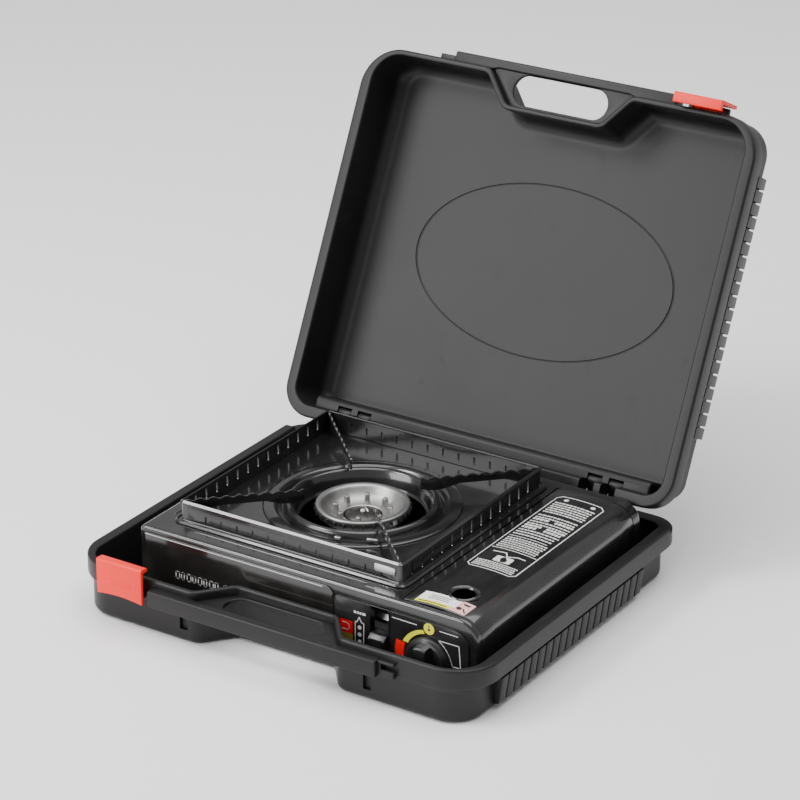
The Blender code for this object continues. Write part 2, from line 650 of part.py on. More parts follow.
# ---- burner --------------------------------------------------------------------------------------------------------
def build_burner(enamel, zinc, aluminium, black, ceramic_white):
    """Drip pan, burner, mixing tube and ignition."""
    centre = (BURNER_X, BURNER_Y)
    top = BODY_TOP + GAP
    sheet = 0.0009
    path = [(DRIP_RADIUS, top), (DRIP_RADIUS - 0.0025, top + 0.0012), (TOP_HOLE_RADIUS - 0.001, top + 0.0012),
            (TOP_HOLE_RADIUS - 0.004, top - 0.0045), (ROLL_RADIUS + 0.004, top - 0.0045), (ROLL_RADIUS + 0.001, top + 0.003),
            (ROLL_RADIUS - 0.0015, top + 0.0042), (ROLL_RADIUS - 0.004, top + 0.003), (DRIP_MOUTH + 0.004, top - 0.0095),
            (DRIP_MOUTH, top - 0.0115)]
    shifts = [-0.0004] * 7 + [0.0006, 0.0006, 0.0002]
    under = [(radius + shift, height - sheet) for (radius, height), shift in zip(path, shifts)]
    under[0] = (DRIP_RADIUS - 0.0012, top)
    under[1] = (DRIP_RADIUS - 0.0030, top + 0.0004)
    under[2] = (TOP_HOLE_RADIUS - 0.0016, top + 0.0002)
    make("drip_pan", turned_ring(path + under[::-1], centre, 48), enamel)

    low = BURNER_TOP - 0.031
    spot = (BURNER_X, BURNER_Y)
    bowl = [(0.012, low), (0.022, low + 0.003), (0.029, low + 0.010), (0.031, BURNER_TOP - 0.0145)]
    inner = [(0.0295, BURNER_TOP - 0.0145), (0.0275, low + 0.0105), (0.021, low + 0.0045), (0.012, low + 0.0018)]
    burner_base = make("burner_base", turned_solid(bowl + inner, centre, 32), zinc)
    tube_z = low + 0.009
    neck_y = BURNER_Y - 0.002
    neck = rod("X", (neck_y, tube_z), 0.0068, BURNER_X + 0.020, BURNER_X + 0.036, 16)
    add(burner_base, "burner_neck", neck)
    bore = rod("X", (neck_y, tube_z), 0.0052, BURNER_X + 0.015, BURNER_X + 0.040, 16)
    cut(burner_base, "burner_neck_bore", bore)
    ceramic = 0.0020
    cut(burner_base, "electrode_seat", rod("Z", spot, ceramic + FIT, low - 0.004, low + 0.006, 12))

    rim = BURNER_TOP
    head = [(0.0290, rim - 0.0141), (BURNER_RADIUS - 0.003, rim - 0.0100), (BURNER_RADIUS, rim - 0.0040),
            (BURNER_RADIUS, rim - 0.0010), (BURNER_RADIUS - 0.0015, rim), (BURNER_RADIUS - 0.0050, rim - 0.0010),
            (0.0240, rim - 0.0060), (0.0165, rim - 0.0100), (0.0165, rim - 0.0141)]
    make("burner_head", turned_ring(head, centre, 40), aluminium)
    sleeve = ceramic + 2 * FIT
    cap = [(sleeve, low + 0.0018 + GAP), (0.0048, low + 0.0018 + GAP), (0.0048, rim - 0.0130),
           (0.0155, rim - 0.0120), (0.0155, rim - 0.0100), (0.0120, rim - 0.0088), (sleeve, rim - 0.0080)]
    make("burner_cap", turned_ring(cap, centre, 28), aluminium)

    electrode = [(ceramic, low - 0.0035), (ceramic, rim - 0.0065), (0.0010, rim - 0.0055), (0.0009, rim - 0.0020)]
    make("spark_electrode", turned_solid(electrode, spot, 12), ceramic_white)
    start = Vector((BURNER_X, BURNER_Y, low - 0.0035 - GAP))
    lead = [start, start + Vector((0.001, -0.002, -0.004)), start + Vector((0.006, -0.010, -0.010)),
            Vector((0.010, -0.040, 0.020)), Vector((0.040, -0.080, 0.018)), Vector((0.060, -0.105, 0.018)),
            Vector((0.0690, -0.1230, 0.0185))]
    tube("ignition_lead", lead, 0.0011, 1, black)

    start = Vector((SHIELD_X + 0.007, NOZZLE_Y, NOZZLE_Z))
    route = [start, Vector((0.080, NOZZLE_Y, NOZZLE_Z)), Vector((0.060, NOZZLE_Y + 0.004, NOZZLE_Z + 0.001)),
             Vector((0.046, NOZZLE_Y + 0.018, NOZZLE_Z + 0.002)), Vector((0.042, -0.060, NOZZLE_Z + 0.004)),
             Vector((0.042, -0.030, tube_z)), Vector((0.0380, -0.010, tube_z)), Vector((0.0290, neck_y, tube_z)),
             Vector((0.0220, neck_y, tube_z)), Vector((BURNER_X + 0.036 + 2 * GAP, neck_y, tube_z))]
    tube("mixing_tube", route, 0.0065, 2, zinc)


def tube(name, route, radius, resolution, finish):
    """Bent tube along a smooth curve through the route's points."""
    points = []
    count = len(route)
    for i in range(count - 1):
        before = route[max(i - 1, 0)]
        after = route[min(i + 2, count - 1)]
        a, b = route[i], route[i + 1]
        for k in range(4):
            t = k / 4
            points.append(0.5 * ((2 * a) + (b - before) * t + (2 * before - 5 * a + 4 * b - after) * t * t
                                 + (3 * a - before - 3 * b + after) * t ** 3))
    points.append(route[-1])
    curve = bpy.data.curves.new(name, "CURVE")
    curve.dimensions = "3D"
    curve.bevel_depth = radius
    curve.bevel_resolution = resolution
    curve.use_fill_caps = True
    spline = curve.splines.new("POLY")
    spline.points.add(len(points) - 1)
    for target, point in zip(spline.points, points):
        target.co = (*point, 1.0)
    curve.materials.append(finish)
    made = bpy.data.objects.new(name, curve)
    bpy.context.scene.collection.objects.link(made)
    return made


# ---- controls ------------------------------------------------------------------------------------------------------
def build_controls(black, zinc, brass, grey):
    """Knob, valve, regulator and the lever that locks the cartridge in."""
    place = (KNOB_X, KNOB_Z)
    face = KNOB_FACE
    back = PANEL_FRONT - 0.0006
    rings = []
    for radius, y in ((KNOB_RADIUS, back), (KNOB_RADIUS, back - 0.0035), (KNOB_RADIUS - 0.0025, back - 0.0050),
                      (KNOB_RADIUS - 0.0035, face + 0.0010), (KNOB_RADIUS - 0.0045, face)):
        rings.append([(x, y, z) for x, z in circle(place, radius, 36)])
    knob = make("knob", loft(rings), black, pivot=(KNOB_X, back, KNOB_Z))
    reach = KNOB_RADIUS + 0.004
    for side in (-1, 1):
        low, high = (0.0050, reach) if side > 0 else (-reach, -0.0050)
        scoop = block((KNOB_X + low, face - 0.004, KNOB_Z - reach), (KNOB_X + high, face + 0.0075, KNOB_Z + reach))
        cut(knob, f"knob_scoop_{side}", scoop)
    cut(knob, "knob_bore", rod("Y", place, STEM_RADIUS + FIT, back - 0.0085, back + 0.004))
    make("valve_stem", rod("Y", place, STEM_RADIUS, back - 0.0080, BODY_FRONT + 0.0120), zinc,
         pivot=(KNOB_X, BODY_FRONT, KNOB_Z))

    inner = BODY_FRONT + SHEET
    valve = make("gas_valve", block((KNOB_X - 0.016, inner + 0.0016, KNOB_Z - 0.010),
                                    (KNOB_X + 0.016, inner + 0.0220, NOZZLE_Z + 0.009)), brass)
    cut(valve, "valve_bore", rod("Y", place, STEM_RADIUS + FIT, inner, inner + 0.0120))
    make("gas_nozzle", rod("X", (NOZZLE_Y, NOZZLE_Z), 0.0042, SHIELD_X + 0.007 + GAP, KNOB_X - 0.016 - GAP, 16), brass)
    make("piezo_igniter", block((0.0700, inner + 0.0006, 0.0120), (0.0885, inner + 0.0110, 0.0220)), black)

    low = inner + 0.0220 + GAP
    regulator = turned_y([(0.0100, low), (0.0130, low + 0.0010), (0.0130, low + 0.0090), (0.0060, low + 0.0100),
                          (0.0060, low + 0.0120)], (CARTRIDGE_X, CARTRIDGE_Z), 24)
    make("pressure_regulator", regulator, brass)

    slot_mid = (SLOT_LEFT + SLOT_RIGHT) / 2
    half = (SLOT_RIGHT - SLOT_LEFT) / 2 - 0.0008
    button_low = SLOT_FOOT + 0.0006
    button_high = SLOT_TOP - LEVER_TRAVEL - 0.0006
    outline = rounded([(BODY_FRONT - 0.0075, button_low + 0.002), (BODY_FRONT + 0.0032, button_low),
                       (BODY_FRONT + 0.0032, button_high), (BODY_FRONT - 0.0085, button_high - 0.004)],
                      [0.0015, 0, 0, 0.0025], [3, 0, 0, 4])
    lever = make("lock_lever", prism(outline, "X", slot_mid - half, slot_mid + half), black,
                 pivot=(slot_mid, BODY_FRONT, button_low))
    plate_half = SLOT_RIGHT - slot_mid + 0.0010
    plate = block((slot_mid - plate_half, inner + 0.0008, button_low - 0.0030),
                  (slot_mid + plate_half, inner + 0.0022, button_high + 0.0020))
    add(lever, "lever_plate", plate)
    for name, x in (("left", slot_mid - plate_half - 0.0005 - 0.0018), ("right", slot_mid + plate_half + 0.0005)):
        guide_low = SLOT_FOOT - 0.0010 if name == "left" else SLOT_FOOT - 0.0010
        make(f"lever_guide_{name}", block((x, inner + 0.0004, guide_low), (x + 0.0018, inner + 0.0060, SLOT_TOP + 0.003)), zinc)


def turned_y(profile, centre, count):
    """Open (radius, y) profile turned about a front-back axis through centre (x, z)."""
    rings = []
    for radius, y in profile:
        rings.append([(x, y, z) for x, z in circle(centre, radius, count)])
    return loft(rings)


# ---- trivet --------------------------------------------------------------------------------------------------------
def build_trivet(enamel):
    """Square wind shield that carries four arms."""
    low, high = TRIVET_FOOT, TRIVET_TOP
    outer = [(TRIVET_LEFT, TRIVET_FRONT), (TRIVET_RIGHT, TRIVET_FRONT), (TRIVET_RIGHT, TRIVET_BACK),
             (TRIVET_LEFT, TRIVET_BACK)]
    frame = make("trivet_frame", prism(rounded(outer, [0.003] * 4, [3] * 4), "Z", low, high), enamel)
    t = TRIVET_SHEET
    inner = [(TRIVET_LEFT + t, TRIVET_FRONT + t), (TRIVET_RIGHT - t, TRIVET_FRONT + t),
             (TRIVET_RIGHT - t, TRIVET_BACK - t), (TRIVET_LEFT + t, TRIVET_BACK - t)]
    cut(frame, "trivet_inside", prism(rounded(inner, [0.0016] * 4, [3] * 4), "Z", low - 0.002, high + 0.002))

    centre = Vector((BURNER_X, BURNER_Y))
    for name, corner in zip(("front_left", "front_right", "rear_right", "rear_left"), inner):
        corner = Vector(corner)
        along = (corner - centre).normalized()
        reach = (corner - centre).length - 0.0030
        profile = [(ARM_REACH, low + 0.0085), (ARM_REACH, high - 0.0010), (ARM_REACH + 0.004, high),
                   (reach, high), (reach, low), (reach - 0.012, low), (reach - 0.018, low + 0.0075),
                   (reach - 0.030, low + 0.0105), (ARM_REACH + 0.034, low + 0.0105), (ARM_REACH + 0.022, low + 0.0070),
                   (ARM_REACH + 0.012, low + 0.0062)]
        across = Vector((-along.y, along.x)) * ARM_THICK / 2
        points, faces = prism(profile, "Y", -1.0, 1.0)
        placed = []
        for distance, side, z in points:
            spot = centre + along * distance + across * side
            placed.append((spot.x, spot.y, z))
        make(f"trivet_arm_{name}", (placed, faces), enamel)


def main():
    clear_scene()
    plastic = material("case_plastic", (0.045, 0.043, 0.043), 0.55, 0.0)
    red = material("latch_red", (0.85, 0.10, 0.06), 0.4, 0.0)
    steel = material("bright_steel", (0.6, 0.6, 0.6), 0.3, 1.0)
    zinc = material("zinc_sheet", (0.5, 0.5, 0.5), 0.4, 1.0)
    enamel = material("black_enamel", (0.02, 0.02, 0.02), 0.2, 0.0)
    gloss = material("gloss_panel", (0.012, 0.012, 0.012), 0.12, 0.0)
    grey = material("control_grey", (0.06, 0.06, 0.06), 0.4, 0.0)
    rubber = material("rubber", (0.02, 0.02, 0.02), 0.8, 0.0)
    aluminium = material("cast_aluminium", (0.75, 0.75, 0.75), 0.35, 1.0)
    black = material("black_plastic", (0.015, 0.015, 0.015), 0.35, 0.0)
    brass = material("brass", (0.6, 0.42, 0.15), 0.3, 1.0)
    white = material("ceramic", (0.8, 0.78, 0.72), 0.3, 0.0)
    build_case(plastic, red, steel)
    build_body(enamel, zinc, rubber, gloss, grey)
    build_cover(enamel, steel)
    build_burner(enamel, zinc, aluminium, black, white)
    build_controls(black, zinc, brass, grey)
    build_trivet(enamel)


main()
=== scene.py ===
"""Looks of a portable camping stove in its open carrying case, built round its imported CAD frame."""
import json
import math

import bpy
import bmesh
from mathutils import Matrix, Vector


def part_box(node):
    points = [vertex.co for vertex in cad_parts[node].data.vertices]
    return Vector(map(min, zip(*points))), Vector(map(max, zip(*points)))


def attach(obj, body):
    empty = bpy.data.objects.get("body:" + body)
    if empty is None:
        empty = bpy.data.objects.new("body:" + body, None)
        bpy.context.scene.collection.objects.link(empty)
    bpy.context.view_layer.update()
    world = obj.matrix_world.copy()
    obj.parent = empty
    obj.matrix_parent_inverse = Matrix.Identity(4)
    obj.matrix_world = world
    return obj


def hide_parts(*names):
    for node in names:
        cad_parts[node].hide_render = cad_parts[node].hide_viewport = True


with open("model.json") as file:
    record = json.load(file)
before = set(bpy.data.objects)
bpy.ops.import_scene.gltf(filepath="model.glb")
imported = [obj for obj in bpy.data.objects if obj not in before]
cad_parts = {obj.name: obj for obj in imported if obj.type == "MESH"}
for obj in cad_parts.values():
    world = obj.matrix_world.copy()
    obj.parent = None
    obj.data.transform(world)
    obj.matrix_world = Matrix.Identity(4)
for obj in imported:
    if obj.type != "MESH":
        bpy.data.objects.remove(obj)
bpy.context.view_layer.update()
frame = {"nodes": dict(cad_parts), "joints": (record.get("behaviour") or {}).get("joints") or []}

# ---- sizes and places taken from the frame -------------------------------------------------------------------------
SKIN = 0.0001                       # printed ink and stuck labels stand this far off what they are on
JOINTS = {joint["name"]: joint for joint in frame["joints"]}
LID_AXIS = Vector(JOINTS["lid_hinge"]["pos_m"])
LID_OPEN = JOINTS["lid_hinge"]["range_deg"][1]
LID_TURN = (Matrix.Translation(LID_AXIS) @ Matrix.Rotation(math.radians(-LID_OPEN), 4, "X")
            @ Matrix.Translation(-LID_AXIS))
COVER_AXIS = Vector(JOINTS["cover_hinge"]["pos_m"])
KNOB_AXIS = Vector(JOINTS["knob_turn"]["pos_m"])
BASE_PIVOT = Vector(JOINTS["base_latch_turn"]["pos_m"])
BODY_LOW, BODY_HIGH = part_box("body_shell")
COVER_LOW, COVER_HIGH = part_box("cartridge_cover")
FRAME_LOW, FRAME_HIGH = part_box("trivet_frame")
HEAD_LOW, HEAD_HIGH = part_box("burner_head")
PAN_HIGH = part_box("drip_pan")[1]
KNOB_LOW, KNOB_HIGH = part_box("knob")
LEVER_LOW, LEVER_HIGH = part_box("lock_lever")
NAME_LOW, NAME_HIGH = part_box("name_panel")
CONTROL_LOW, CONTROL_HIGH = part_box("control_panel")
CASE_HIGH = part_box("case_base")[1]
HALF_WIDTH = CASE_HIGH.x
REAR = CASE_HIGH.y
FRONT = -REAR
RIM = 0.049
PARTING = RIM + 0.00015
FLOOR = 0.0026
COLLAR = 0.0094
RECESS_DEEP = 0.0295
RECESS_MOUTH = 0.072
RECESS_BACK = 0.048
LATCH_X = 0.14                     # from the case's middle to the middle of a latch
HINGE_X = 0.13                     # and to the middle of a hinge
EAR_RADIUS = 0.0055
CREST = RIM - 0.0055                # top of the handle bar
BURNER = (HEAD_LOW + HEAD_HIGH) / 2
TOP = BODY_HIGH.z
FINGER_HOLE = (0.1415, -0.093)      # in the cartridge cover
SHEET_METAL = 0.0012
SIDE_ROUND = 0.018                  # the body's round right side, which the cover carries on
FACE = NAME_LOW.y
SLOT_FOOT, SLOT_TOP = 0.0255, 0.0625


# ---- finishes ------------------------------------------------------------------------------------------------------
class Wire:
    """A shader output that Python's operators work on."""

    def __init__(self, finish, socket):
        self.finish = finish
        self.socket = socket

    def maths(self, operation, *values):
        return self.finish.node("ShaderNodeMath", {"operation": operation}, dict(enumerate(values)))

    def __add__(self, other):
        return self.maths("ADD", self, other)

    __radd__ = __add__

    def __mul__(self, other):
        return self.maths("MULTIPLY", self, other)

    __rmul__ = __mul__

    def __sub__(self, other):
        return self.maths("SUBTRACT", self, other)

    def __rsub__(self, other):
        return self.maths("SUBTRACT", other, self)

    def steep(self, low, high):
        """0 below low, 1 above high, straight between."""
        return self.finish.node("ShaderNodeMapRange", {}, {0: self, 1: low, 2: high, 3: 0.0, 4: 1.0})


class Finish:
    """A Principled material put together from nodes."""

    def __init__(self, name, **settings):
        self.material = bpy.data.materials.new(name)
        self.material.use_nodes = True
        self.tree = self.material.node_tree
        self.shader = self.tree.nodes["Principled BSDF"]
        self.place = self.node("ShaderNodeTexCoord", {}, {}, "Object")
        for socket, value in settings.items():
            self.set(socket.replace("_", " ").title().replace("Ior", "IOR"), value)

    def feed(self, target, value):
        if isinstance(value, Wire):
            self.tree.links.new(value.socket, target)
        elif target.type == "RGBA":
            target.default_value = (*value, 1.0)
        else:
            target.default_value = value

    def set(self, socket, value):
        self.feed(self.shader.inputs[socket], value)

    def node(self, kind, settings, inputs, output=0):
        made = self.tree.nodes.new(kind)
        for name, value in settings.items():
            setattr(made, name, value)
        for name, value in inputs.items():
            self.feed(made.inputs[name], value)
        return Wire(self, made.outputs[output])

    def noise(self, scale, detail=3.0, rough=0.5, place=None):
        inputs = {"Vector": place or self.place, "Scale": scale, "Detail": detail, "Roughness": rough}
        return self.node("ShaderNodeTexNoise", {}, inputs)

    def stretched(self, x, y, z):
        return self.node("ShaderNodeMapping", {}, {"Vector": self.place, "Scale": (x, y, z)})

    def mix(self, factor, first, second):
        return self.node("ShaderNodeMix", {"data_type": "RGBA"}, {0: factor, 6: first, 7: second}, 2)

    def bump(self, height, strength, distance):
        wire = self.node("ShaderNodeBump", {}, {"Height": height, "Strength": strength, "Distance": distance})
        self.set("Normal", wire)


def case_plastic():
    """Blow-moulded charcoal plastic: fine leather-like grain, faint swirls and handling marks."""
    made = Finish("case_plastic_grained", specular_ior_level=0.3)
    swirl = made.noise(9.0, 4.0, 0.6)
    grain = made.noise(1500.0, 2.0, 0.6)
    pits = made.node("ShaderNodeTexVoronoi", {}, {"Vector": made.place, "Scale": 1100.0})
    scuff = made.noise(60.0, 6.0, 0.7, made.stretched(1.0, 0.25, 1.0)).steep(0.6, 0.72)
    base = made.mix(swirl.steep(0.35, 0.7), (0.008, 0.0076, 0.008), (0.011, 0.0105, 0.0109))
    base = made.mix(scuff * 0.25, base, (0.032, 0.031, 0.031))
    made.set("Base Color", base)
    made.set("Roughness", 0.36 + swirl * 0.1 + scuff * 0.08)
    made.bump(grain * 0.6 + pits * 0.4, 0.22, 0.00022)
    return made.material


def latch_plastic():
    """Coral red injection-moulded plastic, satin, a little rubbed."""
    made = Finish("latch_coral", coat_roughness=0.25, specular_ior_level=0.3)
    cloud = made.noise(55.0, 4.0, 0.6)
    rub = made.noise(240.0, 5.0, 0.7).steep(0.56, 0.74)
    base = made.mix(cloud, (0.9, 0.014, 0.007), (0.93, 0.022, 0.012))
    made.set("Base Color", made.mix(rub * 0.3, base, (0.94, 0.06, 0.038)))
    made.set("Roughness", 0.4 + rub * 0.12)
    made.set("Coat Weight", 0.05)
    made.bump(made.noise(1300.0, 2.0), 0.1, 0.0002)
    return made.material


def enamel(name, tint, low_rough):
    """Glossy enamel fired on pressed sheet, with orange peel and faint smears."""
    made = Finish(name, coat_roughness=0.07, coat_ior=1.5)
    peel = made.noise(420.0, 2.0, 0.5)
    smear = made.noise(26.0, 5.0, 0.65, made.stretched(1.0, 0.4, 1.0))
    dust = made.noise(900.0, 3.0, 0.7).steep(0.66, 0.74)
    bright = tuple(value * 1.8 + 0.006 for value in tint)
    base = made.mix(smear.steep(0.4, 0.75), tint, bright)
    made.set("Base Color", made.mix(dust * 0.25, base, (0.16, 0.155, 0.15)))
    made.set("Roughness", low_rough + smear * 0.12 + dust * 0.15)
    made.set("Coat Weight", 0.75 - smear * 0.25)
    made.bump(peel + smear * 0.5, 0.05, 0.0004)
    return made.material


def aluminium():
    """Die-cast aluminium, sand-grained in the bowl, turned bright on the rim and a little heat-browned."""
    made = Finish("aluminium_die_cast", metallic=1.0)
    grain = made.noise(1600.0, 3.0, 0.7)
    cloud = made.noise(90.0, 4.0, 0.6)
    base = made.mix(cloud.steep(0.3, 0.75), (0.4, 0.4, 0.395), (0.29, 0.285, 0.28))
    height = made.node("ShaderNodeSeparateXYZ", {}, {0: made.place}, 2)
    low = 1 - height.steep(HEAD_HIGH.z - 0.01, HEAD_HIGH.z - 0.004)
    made.set("Base Color", made.mix(low * 0.35, base, (0.5, 0.49, 0.48)))
    made.set("Roughness", 0.34 + grain * 0.14 + low * 0.06)
    made.bump(grain + cloud * 0.4, 0.28, 0.0003)
    return made.material


def sheet_metal(name, tint, rough):
    """Plated sheet or drawn wire with a fine rolling grain and spangle."""
    made = Finish(name, metallic=1.0)
    rolled = made.noise(700.0, 3.0, 0.6, made.stretched(1.0, 0.06, 1.0))
    spangle = made.node("ShaderNodeTexVoronoi", {}, {"Vector": made.place, "Scale": 130.0}, "Color")
    dark = tuple(value * 0.78 for value in tint)
    patch = made.node("ShaderNodeSeparateColor", {}, {0: spangle})
    made.set("Base Color", made.mix(patch * 0.5 + rolled * 0.4, tint, dark))
    made.set("Roughness", rough + rolled * 0.14 + patch * 0.06)
    made.bump(rolled, 0.1, 0.0002)
    return made.material


def printed(name, tint, rough=0.45):
    """Screen-printed ink: slightly uneven cover and edges."""
    made = Finish(name)
    speck = made.noise(1400.0, 3.0, 0.6)
    thin = tuple(value * 0.86 for value in tint)
    made.set("Base Color", made.mix(speck.steep(0.45, 0.7), tint, thin))
    made.set("Roughness", rough + speck * 0.12)
    made.bump(speck, 0.05, 0.0001)
    return made.material


def moulded(name, tint, rough, grain_size=1200.0):
    """Small moulded plastic or rubber part with a fine spark-eroded texture."""
    made = Finish(name)
    grain = made.noise(grain_size, 2.0, 0.6)
    cloud = made.noise(70.0, 4.0, 0.6)
    lit = tuple(value * 1.5 + 0.004 for value in tint)
    made.set("Base Color", made.mix(cloud.steep(0.35, 0.75), tint, lit))
    made.set("Roughness", rough + cloud * 0.1)
    made.bump(grain, 0.14, 0.0002)
    return made.material


CASE = case_plastic()
CORAL = latch_plastic()
ENAMEL = enamel("black_enamel_glossy", (0.0085, 0.0083, 0.0082), 0.16)
GLOSS = enamel("name_panel_gloss", (0.011, 0.0095, 0.009), 0.1)
GREY = enamel("control_panel_grey", (0.01, 0.01, 0.0105), 0.24)
ALUMINIUM = aluminium()
STEEL = sheet_metal("bright_steel", (0.66, 0.66, 0.67), 0.22)
ZINC = sheet_metal("zinc_plated", (0.56, 0.57, 0.58), 0.3)
BURNT = sheet_metal("heat_darkened", (0.085, 0.08, 0.078), 0.34)
BRASS = sheet_metal("brass_turned", (0.62, 0.43, 0.17), 0.24)
RUBBER = moulded("foot_rubber", (0.018, 0.018, 0.018), 0.7, 800.0)
BLACK = moulded("knob_plastic", (0.009, 0.009, 0.0095), 0.26)
CERAMIC = moulded("electrode_ceramic", (0.72, 0.7, 0.65), 0.22, 500.0)
WHITE_INK = printed("ink_white", (0.72, 0.72, 0.71))
RED_INK = printed("ink_red", (0.9, 0.006, 0.005), 0.38)
YELLOW_INK = printed("ink_yellow", (0.88, 0.82, 0.045), 0.42)
OCHRE_INK = printed("ink_ochre", (0.36, 0.27, 0.05), 0.42)
PAPER = printed("sticker_white", (0.93, 0.93, 0.91), 0.35)
PINK = printed("sticker_pink", (0.9, 0.5, 0.48), 0.35)
# Dark ink for real print, also used as painted shade for the burner's flame ports.
DARK_INK_AND_PORT_SHADE = printed("ink_dark", (0.03, 0.028, 0.028), 0.45)


# ---- working with operators ----------------------------------------------------------------------------------------
def placed(name, data):
    """Put new data in the scene as an object."""
    item = bpy.data.objects.new(name, data)
    bpy.context.scene.collection.objects.link(item)
    return item


def meshed(name, points, edges, faces):
    """Object with a mesh of the given points."""
    mesh = bpy.data.meshes.new(name)
    mesh.from_pydata(points, edges, faces)
    return placed(name, mesh)


def drop_selection():
    """Leave edit mode with nothing selected."""
    if bpy.context.object and bpy.context.object.mode != "OBJECT":
        bpy.ops.object.mode_set(mode="OBJECT")
    bpy.ops.object.select_all(action="DESELECT")


def hold(piece):
    """Make a piece the only one selected."""
    drop_selection()
    piece.select_set(True)
    bpy.context.view_layer.objects.active = piece


def settle(piece):
    """Put a piece's place, turn and size into its mesh."""
    hold(piece)
    bpy.ops.object.transform_apply(location=True, rotation=True, scale=True)
    return piece


def named(name):
    """Name the piece that an operator has just added."""
    piece = bpy.context.object
    piece.name = name
    piece.data.name = name
    return piece


def block(name, low, high):
    """Cube stretched between two corners."""
    drop_selection()
    low, high = Vector(low), Vector(high)
    bpy.ops.mesh.primitive_cube_add(size=1.0, location=(low + high) / 2)
    piece = named(name)
    piece.scale = high - low
    return settle(piece)


def barrel(name, axis, centre, radius, low, high, count=32):
    """Cylinder along X, Y or Z between two places on that axis."""
    drop_selection()
    where = Vector(centre)
    number = "XYZ".index(axis)
    where[number] = (low + high) / 2
    turn = {"X": (0, math.pi / 2, 0), "Y": (math.pi / 2, 0, 0), "Z": (0, 0, 0)}[axis]
    bpy.ops.mesh.primitive_cylinder_add(vertices=count, radius=radius, depth=high - low, location=where,
                                        rotation=turn)
    return settle(named(name))


def apply(piece, kind, **settings):
    """Add a modifier and apply it."""
    hold(piece)
    step = piece.modifiers.new(kind.lower(), kind)
    for name, value in settings.items():
        setattr(step, name, value)
    bpy.ops.object.modifier_apply(modifier=step.name)
    return piece


def soften(piece, width, segments=3, angle=30.0):
    """Round the edges sharper than an angle."""
    return apply(piece, "BEVEL", width=width, segments=segments, limit_method="ANGLE",
                 angle_limit=math.radians(angle), use_clamp_overlap=True)


def combine(piece, tools, operation):
    """Join tools onto a piece, or cut them out of it, and remove them."""
    for tool in tools:
        apply(piece, "BOOLEAN", operation=operation, object=tool, solver="EXACT")
        bpy.data.objects.remove(tool)
    return piece


def cut(piece, *tools):
    return combine(piece, tools, "DIFFERENCE")


def weld(piece, *tools):
    return combine(piece, tools, "UNION")


def together(name, pieces):
    """One object from several."""
    drop_selection()
    for piece in pieces:
        piece.select_set(True)
    bpy.context.view_layer.objects.active = pieces[0]
    bpy.ops.object.join()
    return named(name)


def smooth(piece, angle=35.0):
    hold(piece)
    bpy.ops.object.shade_smooth_by_angle(angle=math.radians(angle))
    return piece


def edit(piece, kind="FACE"):
    """Open a piece in edit mode with nothing selected."""
    hold(piece)
    bpy.ops.object.mode_set(mode="EDIT")
    bpy.ops.mesh.select_mode(type=kind)
    bpy.ops.mesh.select_all(action="DESELECT")


def pick(piece, test, kind="faces"):
    """Select the elements of a piece in edit mode that pass a test."""
    work = bmesh.from_edit_mesh(piece.data)
    for element in getattr(work, kind):
        if test(element):
            element.select_set(True)
    work.select_flush_mode()
    bmesh.update_edit_mesh(piece.data)


def done():
    bpy.ops.object.mode_set(mode="OBJECT")


def from_rings(name, rings, capped=True, closed=True):
    """Skin through rings of equal count. A closed skin joins the last point of each ring to its first."""
    count = len(rings[0])
    points = [tuple(point) for ring in rings for point in ring]
    faces = []
    for level in range(len(rings) - 1):
        for i in range(count if closed else count - 1):
            j = (i + 1) % count
            base = level * count
            faces.append((base + i, base + j, base + count + j, base + count + i))
    if capped:
        faces.append(tuple(range(count))[::-1])
        last = (len(rings) - 1) * count
        faces.append(tuple(range(last, last + count)))
    return outward(meshed(name, points, [], faces))


def outward(piece):
    """Merge doubles and point the faces outwards."""
    edit(piece)
    bpy.ops.mesh.select_all(action="SELECT")
    bpy.ops.mesh.remove_doubles(threshold=0.000001)
    bpy.ops.mesh.normals_make_consistent(inside=False)
    done()
    return piece


def slab(name, outline, axis, low, high):
    """Outline drawn across an axis, extruded from low to high."""
    def at(pair, along):
        return {"X": (along, *pair), "Y": (pair[0], along, pair[1]), "Z": (*pair, along)}[axis]
    return from_rings(name, [[at(pair, low) for pair in outline], [at(pair, high) for pair in outline]])


def spun(name, profile, centre, steps=72, axis="Z"):
    """Closed or open profile of (radius, height) spun a full turn about an axis through the centre."""
    if axis == "Z":
        middle, direction = (centre[0], centre[1], 0), (0, 0, 1)
        points = [(centre[0] + radius, centre[1], height) for radius, height in profile]
    else:
        middle, direction = (centre[0], 0, centre[2]), (0, 1, 0)
        points = [(centre[0] + radius, height, centre[2]) for radius, height in profile]
    piece = meshed(name, points, [(i, i + 1) for i in range(len(points) - 1)], [])
    edit(piece, "VERT")
    bpy.ops.mesh.select_all(action="SELECT")
    bpy.ops.mesh.spin(steps=steps, angle=math.tau, center=middle, axis=direction)
    done()
    return outward(piece)


def arc(centre, radius, start, stop, count):
    """Points along an arc, in degrees."""
    points = []
    for i in range(count):
        angle = math.radians(start + (stop - start) * i / (count - 1))
        points.append((centre[0] + radius * math.cos(angle), centre[1] + radius * math.sin(angle)))
    return points


def rounded(corners, radii, steps):
    """Polygon with arcs at its corners."""
    points = []
    count = len(corners)
    for i in range(count):
        here = Vector(corners[i])
        before = (Vector(corners[i - 1]) - here).normalized()
        after = (Vector(corners[(i + 1) % count]) - here).normalized()
        if radii[i] <= 0:
            points.append(tuple(here))
            continue
        half = before.angle(after) / 2
        reach = radii[i] / math.tan(half)
        centre = here + (before + after).normalized() * radii[i] / math.sin(half)
        first = here + before * reach - centre
        sweep = first.angle_signed(here + after * reach - centre)
        for k in range(steps[i] + 1):
            spoke = first.copy()
            spoke.rotate(Matrix.Rotation(-sweep * k / steps[i], 2))
            points.append(tuple(centre + spoke))
    return points


